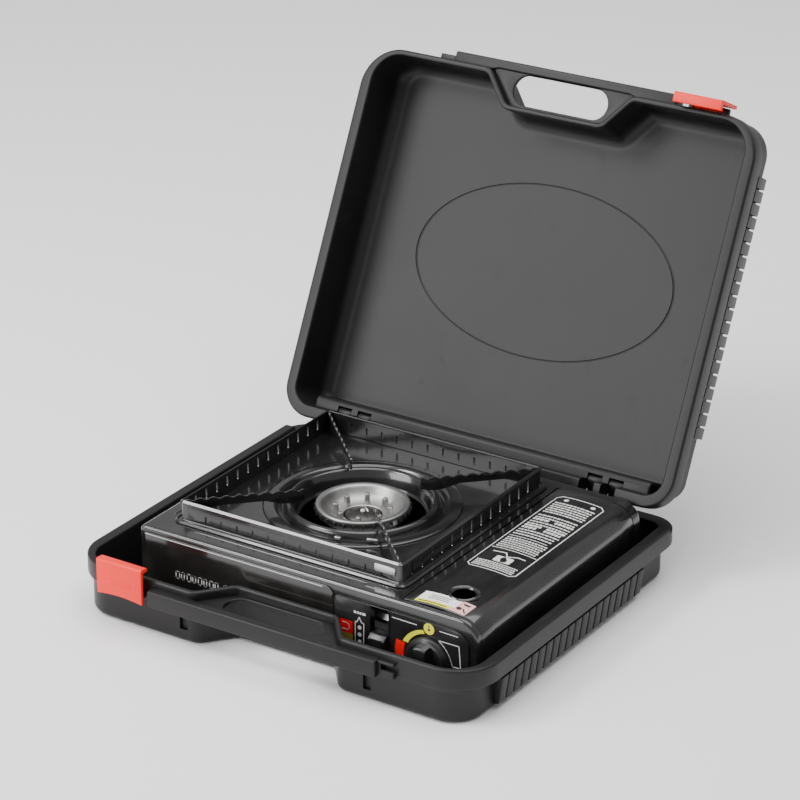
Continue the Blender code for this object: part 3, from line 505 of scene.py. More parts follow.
def box_outline(low, high, radius, steps=6):
    """Rectangle between two corners with rounded corners."""
    corners = [low, (high[0], low[1]), high, (low[0], high[1])]
    return rounded(corners, [radius] * 4, [steps] * 4)


def finish(piece, body, material, slot, *nodes):
    """Give a piece its material, what it rides on and the CAD nodes that it stands for. The slot is not used."""
    piece.data.materials.clear()
    piece.data.materials.append(material)
    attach(piece, body)
    if nodes:
        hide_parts(*nodes)
    return piece


# ---- carrying case -------------------------------------------------------------------------------------------------
def case_outline(side, front, rear, recess):
    """Plan of a case half with its walls moved in."""
    lean = (RECESS_MOUTH - RECESS_BACK) / RECESS_DEEP
    shift = recess * math.sqrt(1 + lean * lean)
    low, high = FRONT + front, REAR - rear
    back = FRONT + RECESS_DEEP + recess
    mouth = RECESS_MOUTH + shift - lean * front
    floor = RECESS_BACK + shift - lean * recess
    right = HALF_WIDTH - side
    corners = [(-mouth, low), (-floor, back), (floor, back), (mouth, low), (right, low), (right, high),
               (-right, high), (-right, low)]
    crown = max(0.0125 - recess, 0.0015)
    valley = 0.008 + recess
    front_round = max(0.038 - side, 0.004)
    rear_round = max(0.028 - side, 0.004)
    radii = [crown, valley, valley, crown, front_round, rear_round, rear_round, front_round]
    return rounded(corners, radii, [7, 7, 7, 7, 22, 16, 16, 22])


def case_shell(name):
    """Tray of a case half: rounded foot, lower wall that the ribs are set on, proud collar, rolled rim, coved inside.
    """
    slim = 0.0012
    levels = []

    def outside(height, part, lean=0.0):
        levels.append((height, COLLAR * part + lean, slim * part + lean, COLLAR * part + lean, lean))

    def inside(height, lean, drift):
        levels.append((height, 0.011 + lean + drift, 0.005 + lean + drift * 0.25, 0.011 + lean + drift,
                       0.0046 + lean + drift * 0.25))
    outside(0.0, 1.0, 0.0085)
    for angle in range(0, 91, 10):
        lean = 0.006 * (1 - math.sin(math.radians(angle)))
        outside(0.006 * (1 - math.cos(math.radians(angle))), 1.0, lean)
    for height, part in ((0.0265, 1.0), (0.0278, 0.97), (0.029, 0.86), (0.0302, 0.55), (0.0312, 0.22),
                         (0.0322, 0.05), (0.0334, 0.0)):
        outside(height, part)
    for angle in range(0, 91, 15):
        lean = 0.0022 * (1 - math.cos(math.radians(angle)))
        outside(RIM - 0.0022 * (1 - math.sin(math.radians(angle))), 0.0, lean)
    inside(RIM, -0.002, 0.0)
    for angle in range(0, 91, 22):
        lean = 0.0015 * (math.sin(math.radians(angle)) - 1)
        inside(RIM - 0.0015 * (1 - math.cos(math.radians(angle))), lean, 0.0)
    inside(RIM - 0.003, 0.0, 0.0006)
    cove = 0.012
    inside(FLOOR + cove + 0.002, 0.0, 0.0022)
    for angle in range(0, 91, 9):
        lean = cove * (1 - math.cos(math.radians(angle)))
        inside(FLOOR + cove * (1 - math.sin(math.radians(angle))), lean, 0.0025)
    inside(FLOOR, cove + 0.003, 0.0025)
    rings = [[(x, y, height) for x, y in case_outline(*insets)] for height, *insets in levels]
    return from_rings(name, rings)


def lug(name, side):
    """Ear on the case's front wall that holds an end of the latch pin."""
    y, z = BASE_PIVOT.y, BASE_PIVOT.z
    outline = arc((y, z), 0.0022, 90, 270, 9) + [(FRONT + 0.003, z - 0.0022), (FRONT + 0.003, z + 0.0022)]
    inner = 0.0144
    low, high = sorted((side * inner - LATCH_X, side * (inner + 0.005) - LATCH_X))
    return slab(name, outline, "X", low, high)


def handle_half(name):
    """Bar of the carrying handle with the web behind it, edges rolled like moulded plastic."""
    face, back, root = FRONT - 0.009, FRONT - 0.001, FRONT + 0.0015
    outline = [(-0.1125, face), (0.1125, face), (0.1125, root), (0.074, root), (0.066, back), (-0.066, back),
               (-0.074, root), (-0.1125, root)]
    bar = slab(name, outline, "Z", CREST - 0.0149, CREST)
    soften(bar, 0.0014, 4)
    shoulder = block("shoulder", (0.11, FRONT - 0.0045, CREST - 0.0145),
                     (0.1275, FRONT + 0.0015, CREST - 0.0005))
    soften(shoulder, 0.001, 3)
    cut(shoulder, block("lip_way", (0.1155, FRONT - 0.008, RIM - 0.013), (0.135, FRONT + 0.0001, RIM - 0.0078)))
    top = RIM - 0.0075
    deep = FRONT + RECESS_DEEP + 0.0015
    web = slab("web", [(-0.073, FRONT - 0.0015), (0.073, FRONT - 0.0015), (0.0495, deep), (-0.0495, deep)], "Z",
               top - 0.004, top)
    middle, radius = FRONT + 0.0138, 0.0136
    gap = arc((0.0338, middle), radius, -90, 90, 17) + arc((-0.0338, middle), radius, 90, 270, 17)
    cut(web, slab("gap", gap, "Z", top - 0.01, top + 0.01))
    soften(web, 0.001, 3, 40)
    return together(name, [bar, shoulder, web])


def ribs(name):
    """Row of upright ribs on each side wall, below the collar."""
    pieces = []
    pitch, wide, proud = 0.0116, 0.0102, 0.0088
    wall = HALF_WIDTH - COLLAR
    first = block(name, (wall - 0.002, -wide / 2, 0.0035), (wall + proud, wide / 2, 0.03))
    edit(first)
    pick(first, lambda face: face.normal.x > 0.9)
    bpy.ops.transform.resize(value=(1.0, 0.97, 1.0))
    done()
    edit(first, "EDGE")
    pick(first, lambda edge: all(v.co.x > wall + 0.001 and v.co.z < 0.01 for v in edge.verts), "edges")
    bpy.ops.transform.translate(value=(-0.0035, 0, 0.0024))
    done()
    soften(first, 0.0007, 3)
    for side in (-1, 1):
        for number in range(20):
            copy = placed(name, first.data.copy())
            copy.location = (0, -0.122 + pitch * number, 0)
            copy.scale = (side, 1, 1)
            pieces.append(settle(copy))
    bpy.data.objects.remove(first)
    return outward(together(name, pieces))


def ear_places():
    """Left and right side of each of the four hinge ears."""
    places = []
    for side in (-1, 1):
        for step in (-1, 1):
            middle = side * HINGE_X + step * 0.0105
            places.append((middle - 0.007, middle + 0.007))
    return places


def half_details(name, shell):
    """What both halves share: wall pockets and latch lugs."""
    left_pocket = block("pocket_a", (-0.0865, FRONT - 0.002, 0.012), (-0.0785, FRONT + 0.0042, 0.0274))
    right_pocket = block("pocket_b", (0.095, FRONT - 0.002, 0.01), (0.1025, FRONT + 0.0042, 0.0262))
    cut(shell, left_pocket, right_pocket)
    pieces = [lug(f"{name}_lug_{side}", side) for side in (-1, 1)]
    for piece in pieces:
        soften(piece, 0.0005, 2)
    return pieces


def turned_over(piece):
    """Turn a piece from the lower half onto the open lid."""
    flip = Matrix.Translation((0, 0, 2 * PARTING)) @ Matrix.Rotation(math.pi, 4, "Y")
    piece.data.transform(LID_TURN @ flip)
    return piece


def build_case():
    hinge = LID_AXIS
    sweep = math.hypot(REAR - hinge.y, hinge.z - RIM)
    low = hinge.z - sweep - 0.0012
    back = hinge.y - (REAR - hinge.y) - 0.002
    shell = case_shell("base_shell")
    extra = half_details("base", shell)
    cut(shell, block("rear_cut", (-0.25, back, low), (0.25, 0.25, 0.1)))
    outline = arc((hinge.y, hinge.z), EAR_RADIUS, 0, 180, 19)
    foot = RIM - 0.016
    outline += [(hinge.y - EAR_RADIUS, foot + 0.003), (hinge.y - 0.0015, foot - 0.003), (hinge.y + EAR_RADIUS, foot)]
    for number, (left, right) in enumerate(ear_places()):
        ear = slab(f"base_ear_{number}", outline, "X", left, right)
        extra.append(soften(ear, 0.0009, 2))
    extra.append(handle_half("base_handle"))
    piece = smooth(together("base_case", [shell] + extra), 32)
    finish(piece, "case", CASE, "case_plastic", "case_base")
    finish(smooth(ribs("base_ribs"), 40), "case", CASE, "case_plastic")

    shell = case_shell("lid_shell")
    extra = half_details("lid", shell)
    groove = 0.0009
    drop_selection()
    bpy.ops.mesh.primitive_torus_add(major_segments=160, minor_segments=10, major_radius=0.1, minor_radius=groove,
                                     location=(-0.004, -0.006, FLOOR))
    ring = named("ellipse")
    edit(ring, "VERT")
    bpy.ops.mesh.select_all(action="SELECT")
    bpy.ops.transform.resize(value=(1.31, 0.77, 1.0), center_override=(-0.004, -0.006, FLOOR))
    done()
    cut(shell, settle(ring))
    flip = 2 * PARTING
    face, inner = REAR - 0.0227, REAR - COLLAR - 0.0015
    under = flip - (RIM + 0.0135)
    line = rounded([(face, 0.0018), (inner, 0.0018), (inner, under), (face, under)], [0, 0, 0, 0.005], [0, 0, 0, 10])
    housing = slab("housing", line, "X", -0.173, 0.173)
    edit(housing, "EDGE")
    pick(housing, lambda edge: abs(edge.verts[0].co.x - edge.verts[1].co.x) < 0.001
         and min(v.co.z for v in edge.verts) > 0.003 and min(v.co.y for v in edge.verts) < inner - 0.002, "edges")
    bpy.ops.mesh.bevel(offset=0.002, segments=4)
    done()
    weld(shell, housing)
    axis = (hinge.y, flip - hinge.z)
    radius = 0.0059
    lean = math.radians(LID_OPEN - 90)
    pocket = [(y, 2 * axis[1] - z) for y, z in arc(axis, radius, 180, LID_OPEN, 15)]
    end = pocket[-1]
    pocket.append((end[0] + 0.04 * math.cos(lean), end[1] - 0.04 * math.sin(lean)))
    pocket += [(hinge.y + 0.04, flip - 0.039), (hinge.y - radius, flip - 0.039)]
    cut(shell, *[slab("pocket", pocket, "X", left - 0.0004, right + 0.0004) for left, right in ear_places()])
    for side in (-1, 1):
        middle = side * HINGE_X
        knuckle = barrel(f"knuckle_{side}", "X", (0, *axis), 0.0054, middle - 0.0031, middle + 0.0031)
        extra.append(soften(knuckle, 0.0004, 2))
    extra.append(handle_half("lid_handle"))
    piece = together("lid_case", [shell] + extra)
    smooth(turned_over(piece), 32)
    finish(piece, "lid", CASE, "case_plastic", "case_lid")
    finish(smooth(turned_over(ribs("lid_ribs")), 40), "lid", CASE, "case_plastic")


def latch(name):
    """Snap latch: arched plate, hooked lip, raised thumb mark and a barrel round its pin."""
    face = FRONT - 0.0101
    back = face + 0.0038
    top, foot = RIM + 0.0125, RIM - 0.02
    tip = FRONT - 0.0009
    left, right = -LATCH_X - 0.023, -LATCH_X + 0.023
    side = rounded([(face, foot), (back - 0.0006, foot), (back - 0.0006, top - 0.004), (tip, top - 0.004),
                    (tip, top - 0.0012), (face, top)], [0.0008, 0, 0.0015, 0.0004, 0.001, 0.0022], [3, 0, 4, 2, 3, 6])
    plate = slab(name, side, "X", left, right)
    arch = arc((-LATCH_X, foot - 0.1318), 0.134, 78, 102, 21)
    cut(plate, slab("arch", arch, "Y", face - 0.01, back + 0.001))
    soften(plate, 0.0007, 3, 40)
    pieces = [plate]
    thumb = box_outline((left + 0.011, foot + 0.011), (right - 0.011, foot + 0.017), 0.0028, 6)
    pieces.append(soften(slab("thumb", thumb, "Y", face - 0.00035, face + 0.0006), 0.0003, 2))
    half = 0.014
    pieces.append(barrel("barrel", "X", BASE_PIVOT, 0.0026, -LATCH_X - half, -LATCH_X + half, 24))
    return smooth(together(name, pieces), 40)


# ---- stove body ----------------------------------------------------------------------------------------------------
def body_profile(inset, foot):
    """Front view of the body."""
    left, right, top = BODY_LOW.x + inset, BODY_HIGH.x - inset, TOP - inset
    return rounded([(left, foot), (right, foot), (right, top), (left, top)], [0, 0, SIDE_ROUND - inset, 0.005 - inset],
                   [0, 0, 18, 8])


def bead(name, start, stop, radius, rise):
    """Pressed bead: half-round ridge on the top plate with rounded ends."""
    start, stop = Vector(start), Vector(stop)
    along = (stop - start).normalized()
    across = Vector((-along.y, along.x, 0))
    rings = []
    length = (stop - start).length
    for i in range(13):
        share = i / 12
        if share < 0.25:
            distance = radius * 2 * (1 - math.cos(math.radians(share * 360)))
        elif share > 0.75:
            distance = length - radius * 2 * (1 - math.cos(math.radians((1 - share) * 360)))
        else:
            distance = radius * 2 + (length - radius * 4) * (share - 0.25) * 2
        edge = min(distance, length - distance) / (radius * 2)
        size = max(math.sqrt(max(0.0, 1 - (1 - min(edge, 1.0)) ** 2)), 0.02)
        spot = start + along * distance
        rings.append([spot + across * radius * size * math.cos(a) + Vector((0, 0, rise * size * math.sin(a) - 0.0002))
                      for a in [math.pi * k / 8 for k in range(9)]])
    return smooth(from_rings(name, rings), 60)


def build_body():
    low, high = BODY_LOW, BODY_HIGH
    ends = []
    for y, inset in ((low.y, 0.003), (low.y + 0.0004, 0.00155), (low.y + 0.00115, 0.0006), (low.y + 0.0021, 0.00015),
                     (low.y + 0.0032, 0.0)):
        ends.append((y, inset))
    rings = []
    for y, inset in ends + [(high.y + low.y - y, inset) for y, inset in ends[::-1]]:
        rings.append([(x, y, max(z, low.z)) for x, z in body_profile(inset, low.z)])
    body = from_rings("stove_body", rings)
    cut(body, slab("hollow", body_profile(SHEET_METAL, low.z - 0.004), "Y", low.y + SHEET_METAL, high.y - SHEET_METAL))
    cut(body, barrel("burner_hole", "Z", (BURNER.x, BURNER.y, 0), 0.0738, TOP - 0.006, TOP + 0.004, 96))
    edge = COVER_AXIS.x - 0.003
    seam = 0.0005
    cut(body, block("bay", (edge, COVER_LOW.y - seam, COVER_LOW.z - seam), (0.3, COVER_HIGH.y + seam, 0.1)))
    cut(body, block("slot", (LEVER_LOW.x + 0.001, low.y - 0.004, SLOT_FOOT),
                    (LEVER_HIGH.x - 0.001, low.y + 0.004, SLOT_TOP)))
    cut(body, barrel("shaft", "Y", (KNOB_AXIS.x, 0, KNOB_AXIS.z), 0.006, low.y - 0.004, low.y + 0.004, 32))
    finish(smooth(body, 32), "stove", ENAMEL, "black_enamel", "body_shell")

    pieces = [bead("bead_front", (-0.11, -0.1165, TOP), (0.066, -0.1165, TOP), 0.0011, 0.0009),
              bead("bead_short", (0.064, -0.1215, TOP), (0.093, -0.1215, TOP), 0.0009, 0.0008),
              bead("bead_rear", (-0.11, 0.1245, TOP), (0.08, 0.1245, TOP), 0.0011, 0.0009),
              bead("bead_left", (-0.1425, -0.1, TOP), (-0.1425, 0.105, TOP), 0.0011, 0.0009)]
    finish(smooth(together("top_beads", pieces), 50), "stove", ENAMEL, "black_enamel")


def crown_height(x):
    """Height of the cover's top at a place."""
    radius, middle = CROWN
    return middle[1] + math.sqrt(radius ** 2 - (x - middle[0]) ** 2)


def crown():
    """Radius and middle of the arc that the cover's dome follows."""
    span = BODY_HIGH.x - SIDE_ROUND - COVER_LOW_X
    rise = COVER_HIGH.z - TOP
    radius = (span ** 2 / 4 + rise ** 2) / (2 * rise)
    return radius, (COVER_LOW_X + span / 2, TOP + rise - radius)


COVER_LOW_X = COVER_AXIS.x - 0.0012
CROWN = crown()


def build_cover():
    """Domed cover with a rolled finger hole and softened ends."""
    radius, middle = CROWN
    half = math.degrees(math.asin((middle[0] - COVER_LOW_X) / radius))

    def skin(inset):
        dome = arc(middle, radius - inset, 90 + half, 90 - half, 15)
        corner = arc((BODY_HIGH.x - SIDE_ROUND, TOP - SIDE_ROUND), SIDE_ROUND - inset, 90, 0, 18)
        return dome + corner[1:] + [(BODY_HIGH.x - inset, COVER_LOW.z)]
    inner = skin(SHEET_METAL)
    rings = []
    y0, y1 = COVER_LOW.y, COVER_HIGH.y
    for y, drop in ((y0, 0.0006), (y0 + 0.0002, 0.0002), (y0 + 0.0006, 0.0), (y0 + 0.02, 0.0), (y1 - 0.02, 0.0),
                    (y1 - 0.0006, 0.0), (y1 - 0.0002, 0.0002), (y1, 0.0006)):
        ring = [(x, y, z) for x, z in skin(drop)] + [(x, y, z) for x, z in inner[::-1]]
        rings.append(ring)
    cover = from_rings("bay_cover", rings)
    cut(cover, barrel("finger_hole", "Z", (*FINGER_HOLE, 0), 0.0105, 0.06, 0.09, 64))
    height = crown_height(FINGER_HOLE[0])
    roll = [(0.01, height - 0.0016), (0.0098, height - 0.0008), (0.0103, height + 0.00005), (0.011, height + 0.0005),
            (0.0117, height + 0.0001), (0.0121, height + 0.00025), (0.0128, height + 0.0007),
            (0.0135, height + 0.0003), (0.0139, height - 0.0004), (0.0137, height - 0.0008),
            (0.0106, height - 0.0006), (0.0104, height - 0.0016), (0.01, height - 0.0016)]
    ring = spun("hole_roll", roll, FINGER_HOLE, 56)
    barrels = [barrel("hinge_barrel", "Y", COVER_AXIS, 0.0016, middle - 0.01, middle + 0.01, 20)
               for middle in (-0.09, 0.0, 0.09)]
    cover = together("bay_cover", [cover, ring] + barrels)
    finish(smooth(cover, 32), "cover", ENAMEL, "black_enamel", "cartridge_cover")


# ---- print ---------------------------------------------------------------------------------------------------------
class Sheet:
    """Flat ink and labels laid on a surface: at(u, v, lift) gives the point for two coordinates."""

    def __init__(self, at):
        self.at = at
        self.points = []
        self.faces = []

    def patch(self, outline, thick=SKIN):
        """Thin closed plate with the given outline."""
        count = len(outline)
        start = len(self.points)
        self.points += [self.at(u, v, 0.00003) for u, v in outline]
        self.points += [self.at(u, v, thick + 0.00003) for u, v in outline]
        self.faces.append(tuple(start + i for i in range(count))[::-1])
        self.faces.append(tuple(start + count + i for i in range(count)))
        for i in range(count):
            j = (i + 1) % count
            self.faces.append((start + i, start + j, start + count + j, start + count + i))

    def bar(self, u0, v0, u1, v1, thick=SKIN):
        """Rectangle, cut up so that it follows a bent surface."""
        steps = max(1, int((u1 - u0) / 0.006))
        for i in range(steps):
            a, b = u0 + (u1 - u0) * i / steps, u0 + (u1 - u0) * (i + 1) / steps
            self.patch([(a, v0), (b, v0), (b, v1), (a, v1)], thick)

    def stroke(self, path, wide, thick=SKIN):
        """Line of a given width along a path."""
        for a, b in zip(path, path[1:]):
            a, b = Vector(a), Vector(b)
            along = (b - a).normalized() * wide / 2
            across = Vector((-along.y, along.x))
            a, b = a - along * 0.6, b + along * 0.6
            self.patch([tuple(a - across), tuple(b - across), tuple(b + across), tuple(a + across)], thick)

    def made(self, name, body, material, slot):
        finish(outward(meshed(name, self.points, [], self.faces)), body, material, slot)


def dashes(sheet, u0, u1, v, tall, seed, lengths=(0.0011, 0.0034), gap=0.0007):
    """Row of plain dashes of uneven length, standing for a printed line."""
    place = u0
    number = seed
    while place < u1 - lengths[0]:
        number = (number * 1103515245 + 12345) % 2147483648
        long = lengths[0] + (lengths[1] - lengths[0]) * (number / 2147483648)
        end = min(place + long, u1)
        sheet.bar(place, v, end, v + tall)
        place = end + gap


def on_front(u, v, lift):
    return (u, FACE - lift, v)


def over_print(u, v, lift):
    return on_front(u, v, lift + SKIN)


def on_cover(u, v, lift):
    return (u, v, crown_height(u) + lift)


def build_print():
    """Plain marks, dials and labels in place of the maker's print."""
    white = Sheet(on_front)
    for start, count in ((-0.118, 8), (-0.0685, 3), (-0.0475, 5)):
        for number in range(count):
            left = start + 0.00575 * number
            wide = (0.0042, 0.0036, 0.0045, 0.0034)[(number * 3 + count) % 4]
            mark = box_outline((left, 0.0336), (left + wide - 0.0006, 0.0402), 0.0012, 3)
            white.stroke(mark + mark[:1], 0.001)
    for path in (((-0.149, 0.067), (0.03, 0.067)), ((0.098, 0.0582), (0.1212, 0.0578)),
                 ((0.143, 0.0582), (0.16, 0.0579))):
        white.stroke(path, 0.0007)
    curve = [(0.1419, 0.0495), (0.1452, 0.047), (0.1482, 0.044), (0.1507, 0.0405), (0.1528, 0.0365),
             (0.1542, 0.033), (0.155, 0.0298)]
    white.stroke(curve + [(0.1628, 0.0302), (0.1612, 0.0496), (0.1419, 0.0495)], 0.0008)
    white.stroke([(0.0622, 0.023), (0.0702, 0.023), (0.0706, 0.0442), (0.0686, 0.0442), (0.0672, 0.047),
                  (0.065, 0.047), (0.064, 0.0442), (0.0622, 0.0442), (0.0622, 0.023)], 0.0008)
    white.patch([(0.0648, 0.047), (0.0676, 0.047), (0.0666, 0.0492), (0.0658, 0.0492)])
    for v in (0.0268, 0.0332, 0.0396):
        white.patch(arc((0.0664, v), 0.0019, 0, 345, 13))
    dashes(white, 0.0609, 0.0728, 0.0517, 0.0021, 5)
    white.made("print_white", "stove", WHITE_INK, "control_grey")

    centre = (KNOB_AXIS.x, KNOB_AXIS.z)
    red = Sheet(on_front)
    red.patch(box_outline((0.047, 0.0318), (0.0597, 0.0432), 0.0008, 3))
    red.patch(arc(centre, 0.0325, 162, 196, 13) + arc(centre, 0.024, 196, 160, 13))
    red.made("print_red", "stove", RED_INK, "control_grey")
    mark = Sheet(over_print)
    hook = arc((0.0535, 0.0376), 0.0032, -60, 100, 9)
    mark.stroke([(0.0495, 0.0346)] + hook + [(0.05, 0.0407)], 0.0008)
    mark.made("print_mark", "stove", WHITE_INK, "control_grey")
    ochre = Sheet(on_front)
    ochre.patch(box_outline((0.047, 0.0248), (0.0597, 0.0316), 0.0008, 3))
    ochre.made("print_ochre", "stove", OCHRE_INK, "control_grey")
    yellow = Sheet(on_front)
    wide = arc((centre[0] - 0.001, centre[1] - 0.0012), 0.0264, 100, 155, 17)
    thin = arc(centre, 0.0222, 155, 101, 17)
    yellow.patch(wide + thin)
    yellow.patch(arc((0.1329, 0.0573), 0.005, 0, 350, 36))
    yellow.made("print_yellow", "stove", YELLOW_INK, "control_grey")
    dark = Sheet(over_print)
    dark.patch(arc((0.1329, 0.0565), 0.0011, 0, 345, 14))
    dark.stroke([(0.1329, 0.0581), (0.1329, 0.0606)], 0.0008)
    dark.made("print_badge_mark", "stove", DARK_INK_AND_PORT_SHADE, "control_grey")

    label = Sheet(on_cover)
    u0, u1, v0, v1, chop = 0.1135, 0.159, -0.046, 0.106, 0.004
    border = [(u0 + chop, v0), (u1 - chop, v0), (u1, v0 + chop), (u1, v1 - chop), (u1 - chop, v1), (u0 + chop, v1),
              (u0, v1 - chop), (u0, v0 + chop), (u0 + chop, v0)]
    fine = []
    for a, b in zip(border, border[1:]):
        a, b = Vector(a), Vector(b)
        steps = max(1, int((b - a).length / 0.006))
        fine += [tuple(a.lerp(b, i / steps)) for i in range(steps)]
    label.stroke(fine + [border[0]], 0.0009)
    label.stroke([(u0 + 0.002 + i * 0.006, -0.007) for i in range(8)], 0.0008)
    label.stroke([(u0 + 0.003 + i * 0.006, 0.019) for i in range(7)], 0.0007)
    v = -0.043
    for row in range(4):
        dashes(label, u0 + 0.0035, u1 - 0.0035, v, 0.0017, 11 + row, (0.001, 0.0026))
        v += 0.003
    label.patch(box_outline((0.129, -0.03), (0.145, -0.02), 0.0015, 3))
    label.stroke([(0.121, -0.014), (0.133, -0.013), (0.137, -0.019), (0.145, -0.015), (0.152, -0.015)], 0.0012)
    v = -0.004
    for row in range(6):
        dashes(label, u0 + 0.0035, u1 - 0.0035, v, 0.0017, 31 + row, (0.0012, 0.003))
        v += 0.0036
    for row in range(10):
        v = 0.023 + row * 0.0046
        if row in (3, 4, 7):
            dashes(label, u0 + 0.0035, 0.133, v, 0.003, 71 + row, (0.002, 0.005))
            dashes(label, 0.138, u1 - 0.0035, v, 0.003, 91 + row, (0.0016, 0.004))
        else:
            dashes(label, u0 + 0.0035, u1 - 0.0035, v, 0.0018, 51 + row, (0.0012, 0.004))
    for row in range(6):
        dashes(label, u0 + 0.0035, u1 - 0.0035, 0.072 + row * 0.004, 0.0018, 111 + row, (0.0014, 0.0045))
    for spot in (0.124, 0.15):
        label.patch(arc((spot, 0.1), 0.0022, 0, 345, 14))
    label.made("cover_label", "cover", WHITE_INK, "black_enamel")

    paper = Sheet(on_cover)
    paper.bar(0.113, -0.118, 0.148, -0.104)
    paper.made("sticker_paper", "cover", PAPER, "black_enamel")
    yellow = Sheet(on_cover)
    yellow.bar(0.113, -0.124 + 0.0012, 0.1445, -0.1182)
    yellow.made("sticker_yellow", "cover", YELLOW_INK, "black_enamel")
    pink = Sheet(on_cover)
    pink.bar(0.1482, -0.1228, 0.16, -0.104)
    pink.bar(0.1446, -0.1228, 0.1482, -0.1182)
    pink.made("sticker_pink", "cover", PINK, "black_enamel")
    ink = Sheet(lambda u, v, lift: on_cover(u, v, lift + SKIN))
    for row in range(3):
        dashes(ink, 0.121, 0.14, -0.109 - row * 0.0028, 0.0012, 7 + row, (0.0008, 0.002), 0.0005)
    dashes(ink, 0.116, 0.142, -0.1214, 0.0016, 17, (0.0012, 0.003), 0.0006)
    ink.patch([(0.15, -0.107), (0.158, -0.107), (0.156, -0.1095), (0.152, -0.1095)])
    ink.patch(arc((0.151, -0.116), 0.0024, 0, 345, 12))
    ink.stroke([(0.1545, -0.115), (0.1585, -0.12)], 0.0012)
    ink.made("sticker_ink", "cover", DARK_INK_AND_PORT_SHADE, "black_enamel")


# ---- panels, knob and lever ----------------------------------------------------------------------------------------
def build_controls():
    low, high = NAME_LOW, NAME_HIGH
    outline = rounded([(low.x, low.z), (high.x, low.z), (high.x, high.z), (low.x, high.z)],
                      [0.002, 0.001, 0.008, 0.002], [5, 3, 12, 5])
    name = slab("name_plate", outline, "Y", low.y, high.y)
    finish(smooth(soften(name, 0.0004, 3)), "stove", GLOSS, "gloss_panel", "name_panel")
    low, high = CONTROL_LOW, CONTROL_HIGH
    outline = rounded([(low.x, low.z), (high.x, low.z), (high.x, high.z), (low.x, high.z)],
                      [0.001, 0.004, 0.014, 0.002], [3, 5, 16, 4])
    panel = slab("control_plate", outline, "Y", low.y, high.y)
    slot_low, slot_high = LEVER_LOW.x + 0.001, LEVER_HIGH.x - 0.001
    hole = box_outline((slot_low, SLOT_FOOT), (slot_high, SLOT_TOP), 0.001, 3)
    cut(panel, slab("slot", hole, "Y", low.y - 0.002, high.y + 0.002),
        barrel("shaft", "Y", (KNOB_AXIS.x, 0, KNOB_AXIS.z), 0.006, low.y - 0.002, high.y + 0.002, 40))
    soften(panel, 0.0004, 3)
    rim = box_outline((slot_low - 0.001, SLOT_FOOT - 0.001), (slot_high + 0.001, SLOT_TOP + 0.001), 0.0016, 4)
    lip = slab("slot_lip", rim, "Y", low.y - 0.0006, low.y + 0.0002)
    cut(lip, slab("slot", hole, "Y", low.y - 0.003, high.y + 0.003))
    soften(lip, 0.00025, 2)
    finish(smooth(together("control_plate", [panel, lip])), "stove", GREY, "control_grey", "control_panel")

    centre = (KNOB_AXIS.x, 0, KNOB_AXIS.z)
    back, face = KNOB_HIGH.y, KNOB_LOW.y
    radius = (KNOB_HIGH.z - KNOB_LOW.z) / 2
    profile = [(0.0042, back), (radius - 0.0004, back), (radius, back - 0.0004), (radius, back - 0.003),
               (radius - 0.0006, back - 0.004), (radius - 0.0022, back - 0.0048), (radius - 0.003, back - 0.006),
               (radius - 0.0036, face + 0.0016), (radius - 0.0042, face + 0.0006), (radius - 0.0054, face),
               (0.0, face)]
    knob = spun("control_knob", profile, centre, 96, "Y")
    reach = radius + 0.004
    tools = []
    for side in (-1, 1):
        inner = 0.0056 * side
        outer = reach * side
        tool = block(f"scoop_{side}", (KNOB_AXIS.x + min(inner, outer), face - 0.004, KNOB_AXIS.z - reach),
                     (KNOB_AXIS.x + max(inner, outer), face + 0.0075, KNOB_AXIS.z + reach))
        tools.append(soften(tool, 0.0022, 5))
    cut(knob, *tools)
    edit(knob)
    bpy.ops.mesh.select_all(action="SELECT")
    bpy.ops.mesh.normals_make_consistent(inside=False)
    done()
    soften(knob, 0.0006, 3, 38)
    finish(smooth(knob, 35), "knob", BLACK, "black_plastic", "knob")

    low, high = LEVER_LOW, LEVER_HIGH
    x0, x1 = low.x + 0.0018, high.x - 0.0018
    z0, z1 = 0.0261, 0.0399
    front = BODY_LOW.y
    outline = rounded([(front - 0.0072, z0 + 0.0018), (front + 0.003, z0), (front + 0.003, z1), (front - 0.003, z1),
                       (front - 0.0082, z1 - 0.004)], [0.0018, 0, 0, 0.004, 0.0022], [5, 0, 0, 6, 5])
    button = soften(slab("lever_button", outline, "X", x0, x1), 0.0008, 3, 40)
    pieces = [button]
    for number in range(4):
        height = z0 + 0.0035 + number * 0.0021
        ridge = block(f"grip_{number}", (x0 + 0.002, front - 0.00865, height),
                      (x1 - 0.002, front - 0.0068, height + 0.0009))
        pieces.append(soften(ridge, 0.0003, 2))
    plate = block("lever_plate", (low.x, high.y - 0.0014, low.z), (high.x, high.y, high.z))
    pieces.append(soften(plate, 0.0003, 2))
    finish(smooth(together("lever_grip", pieces), 40), "lever", BLACK, "black_plastic", "lock_lever")


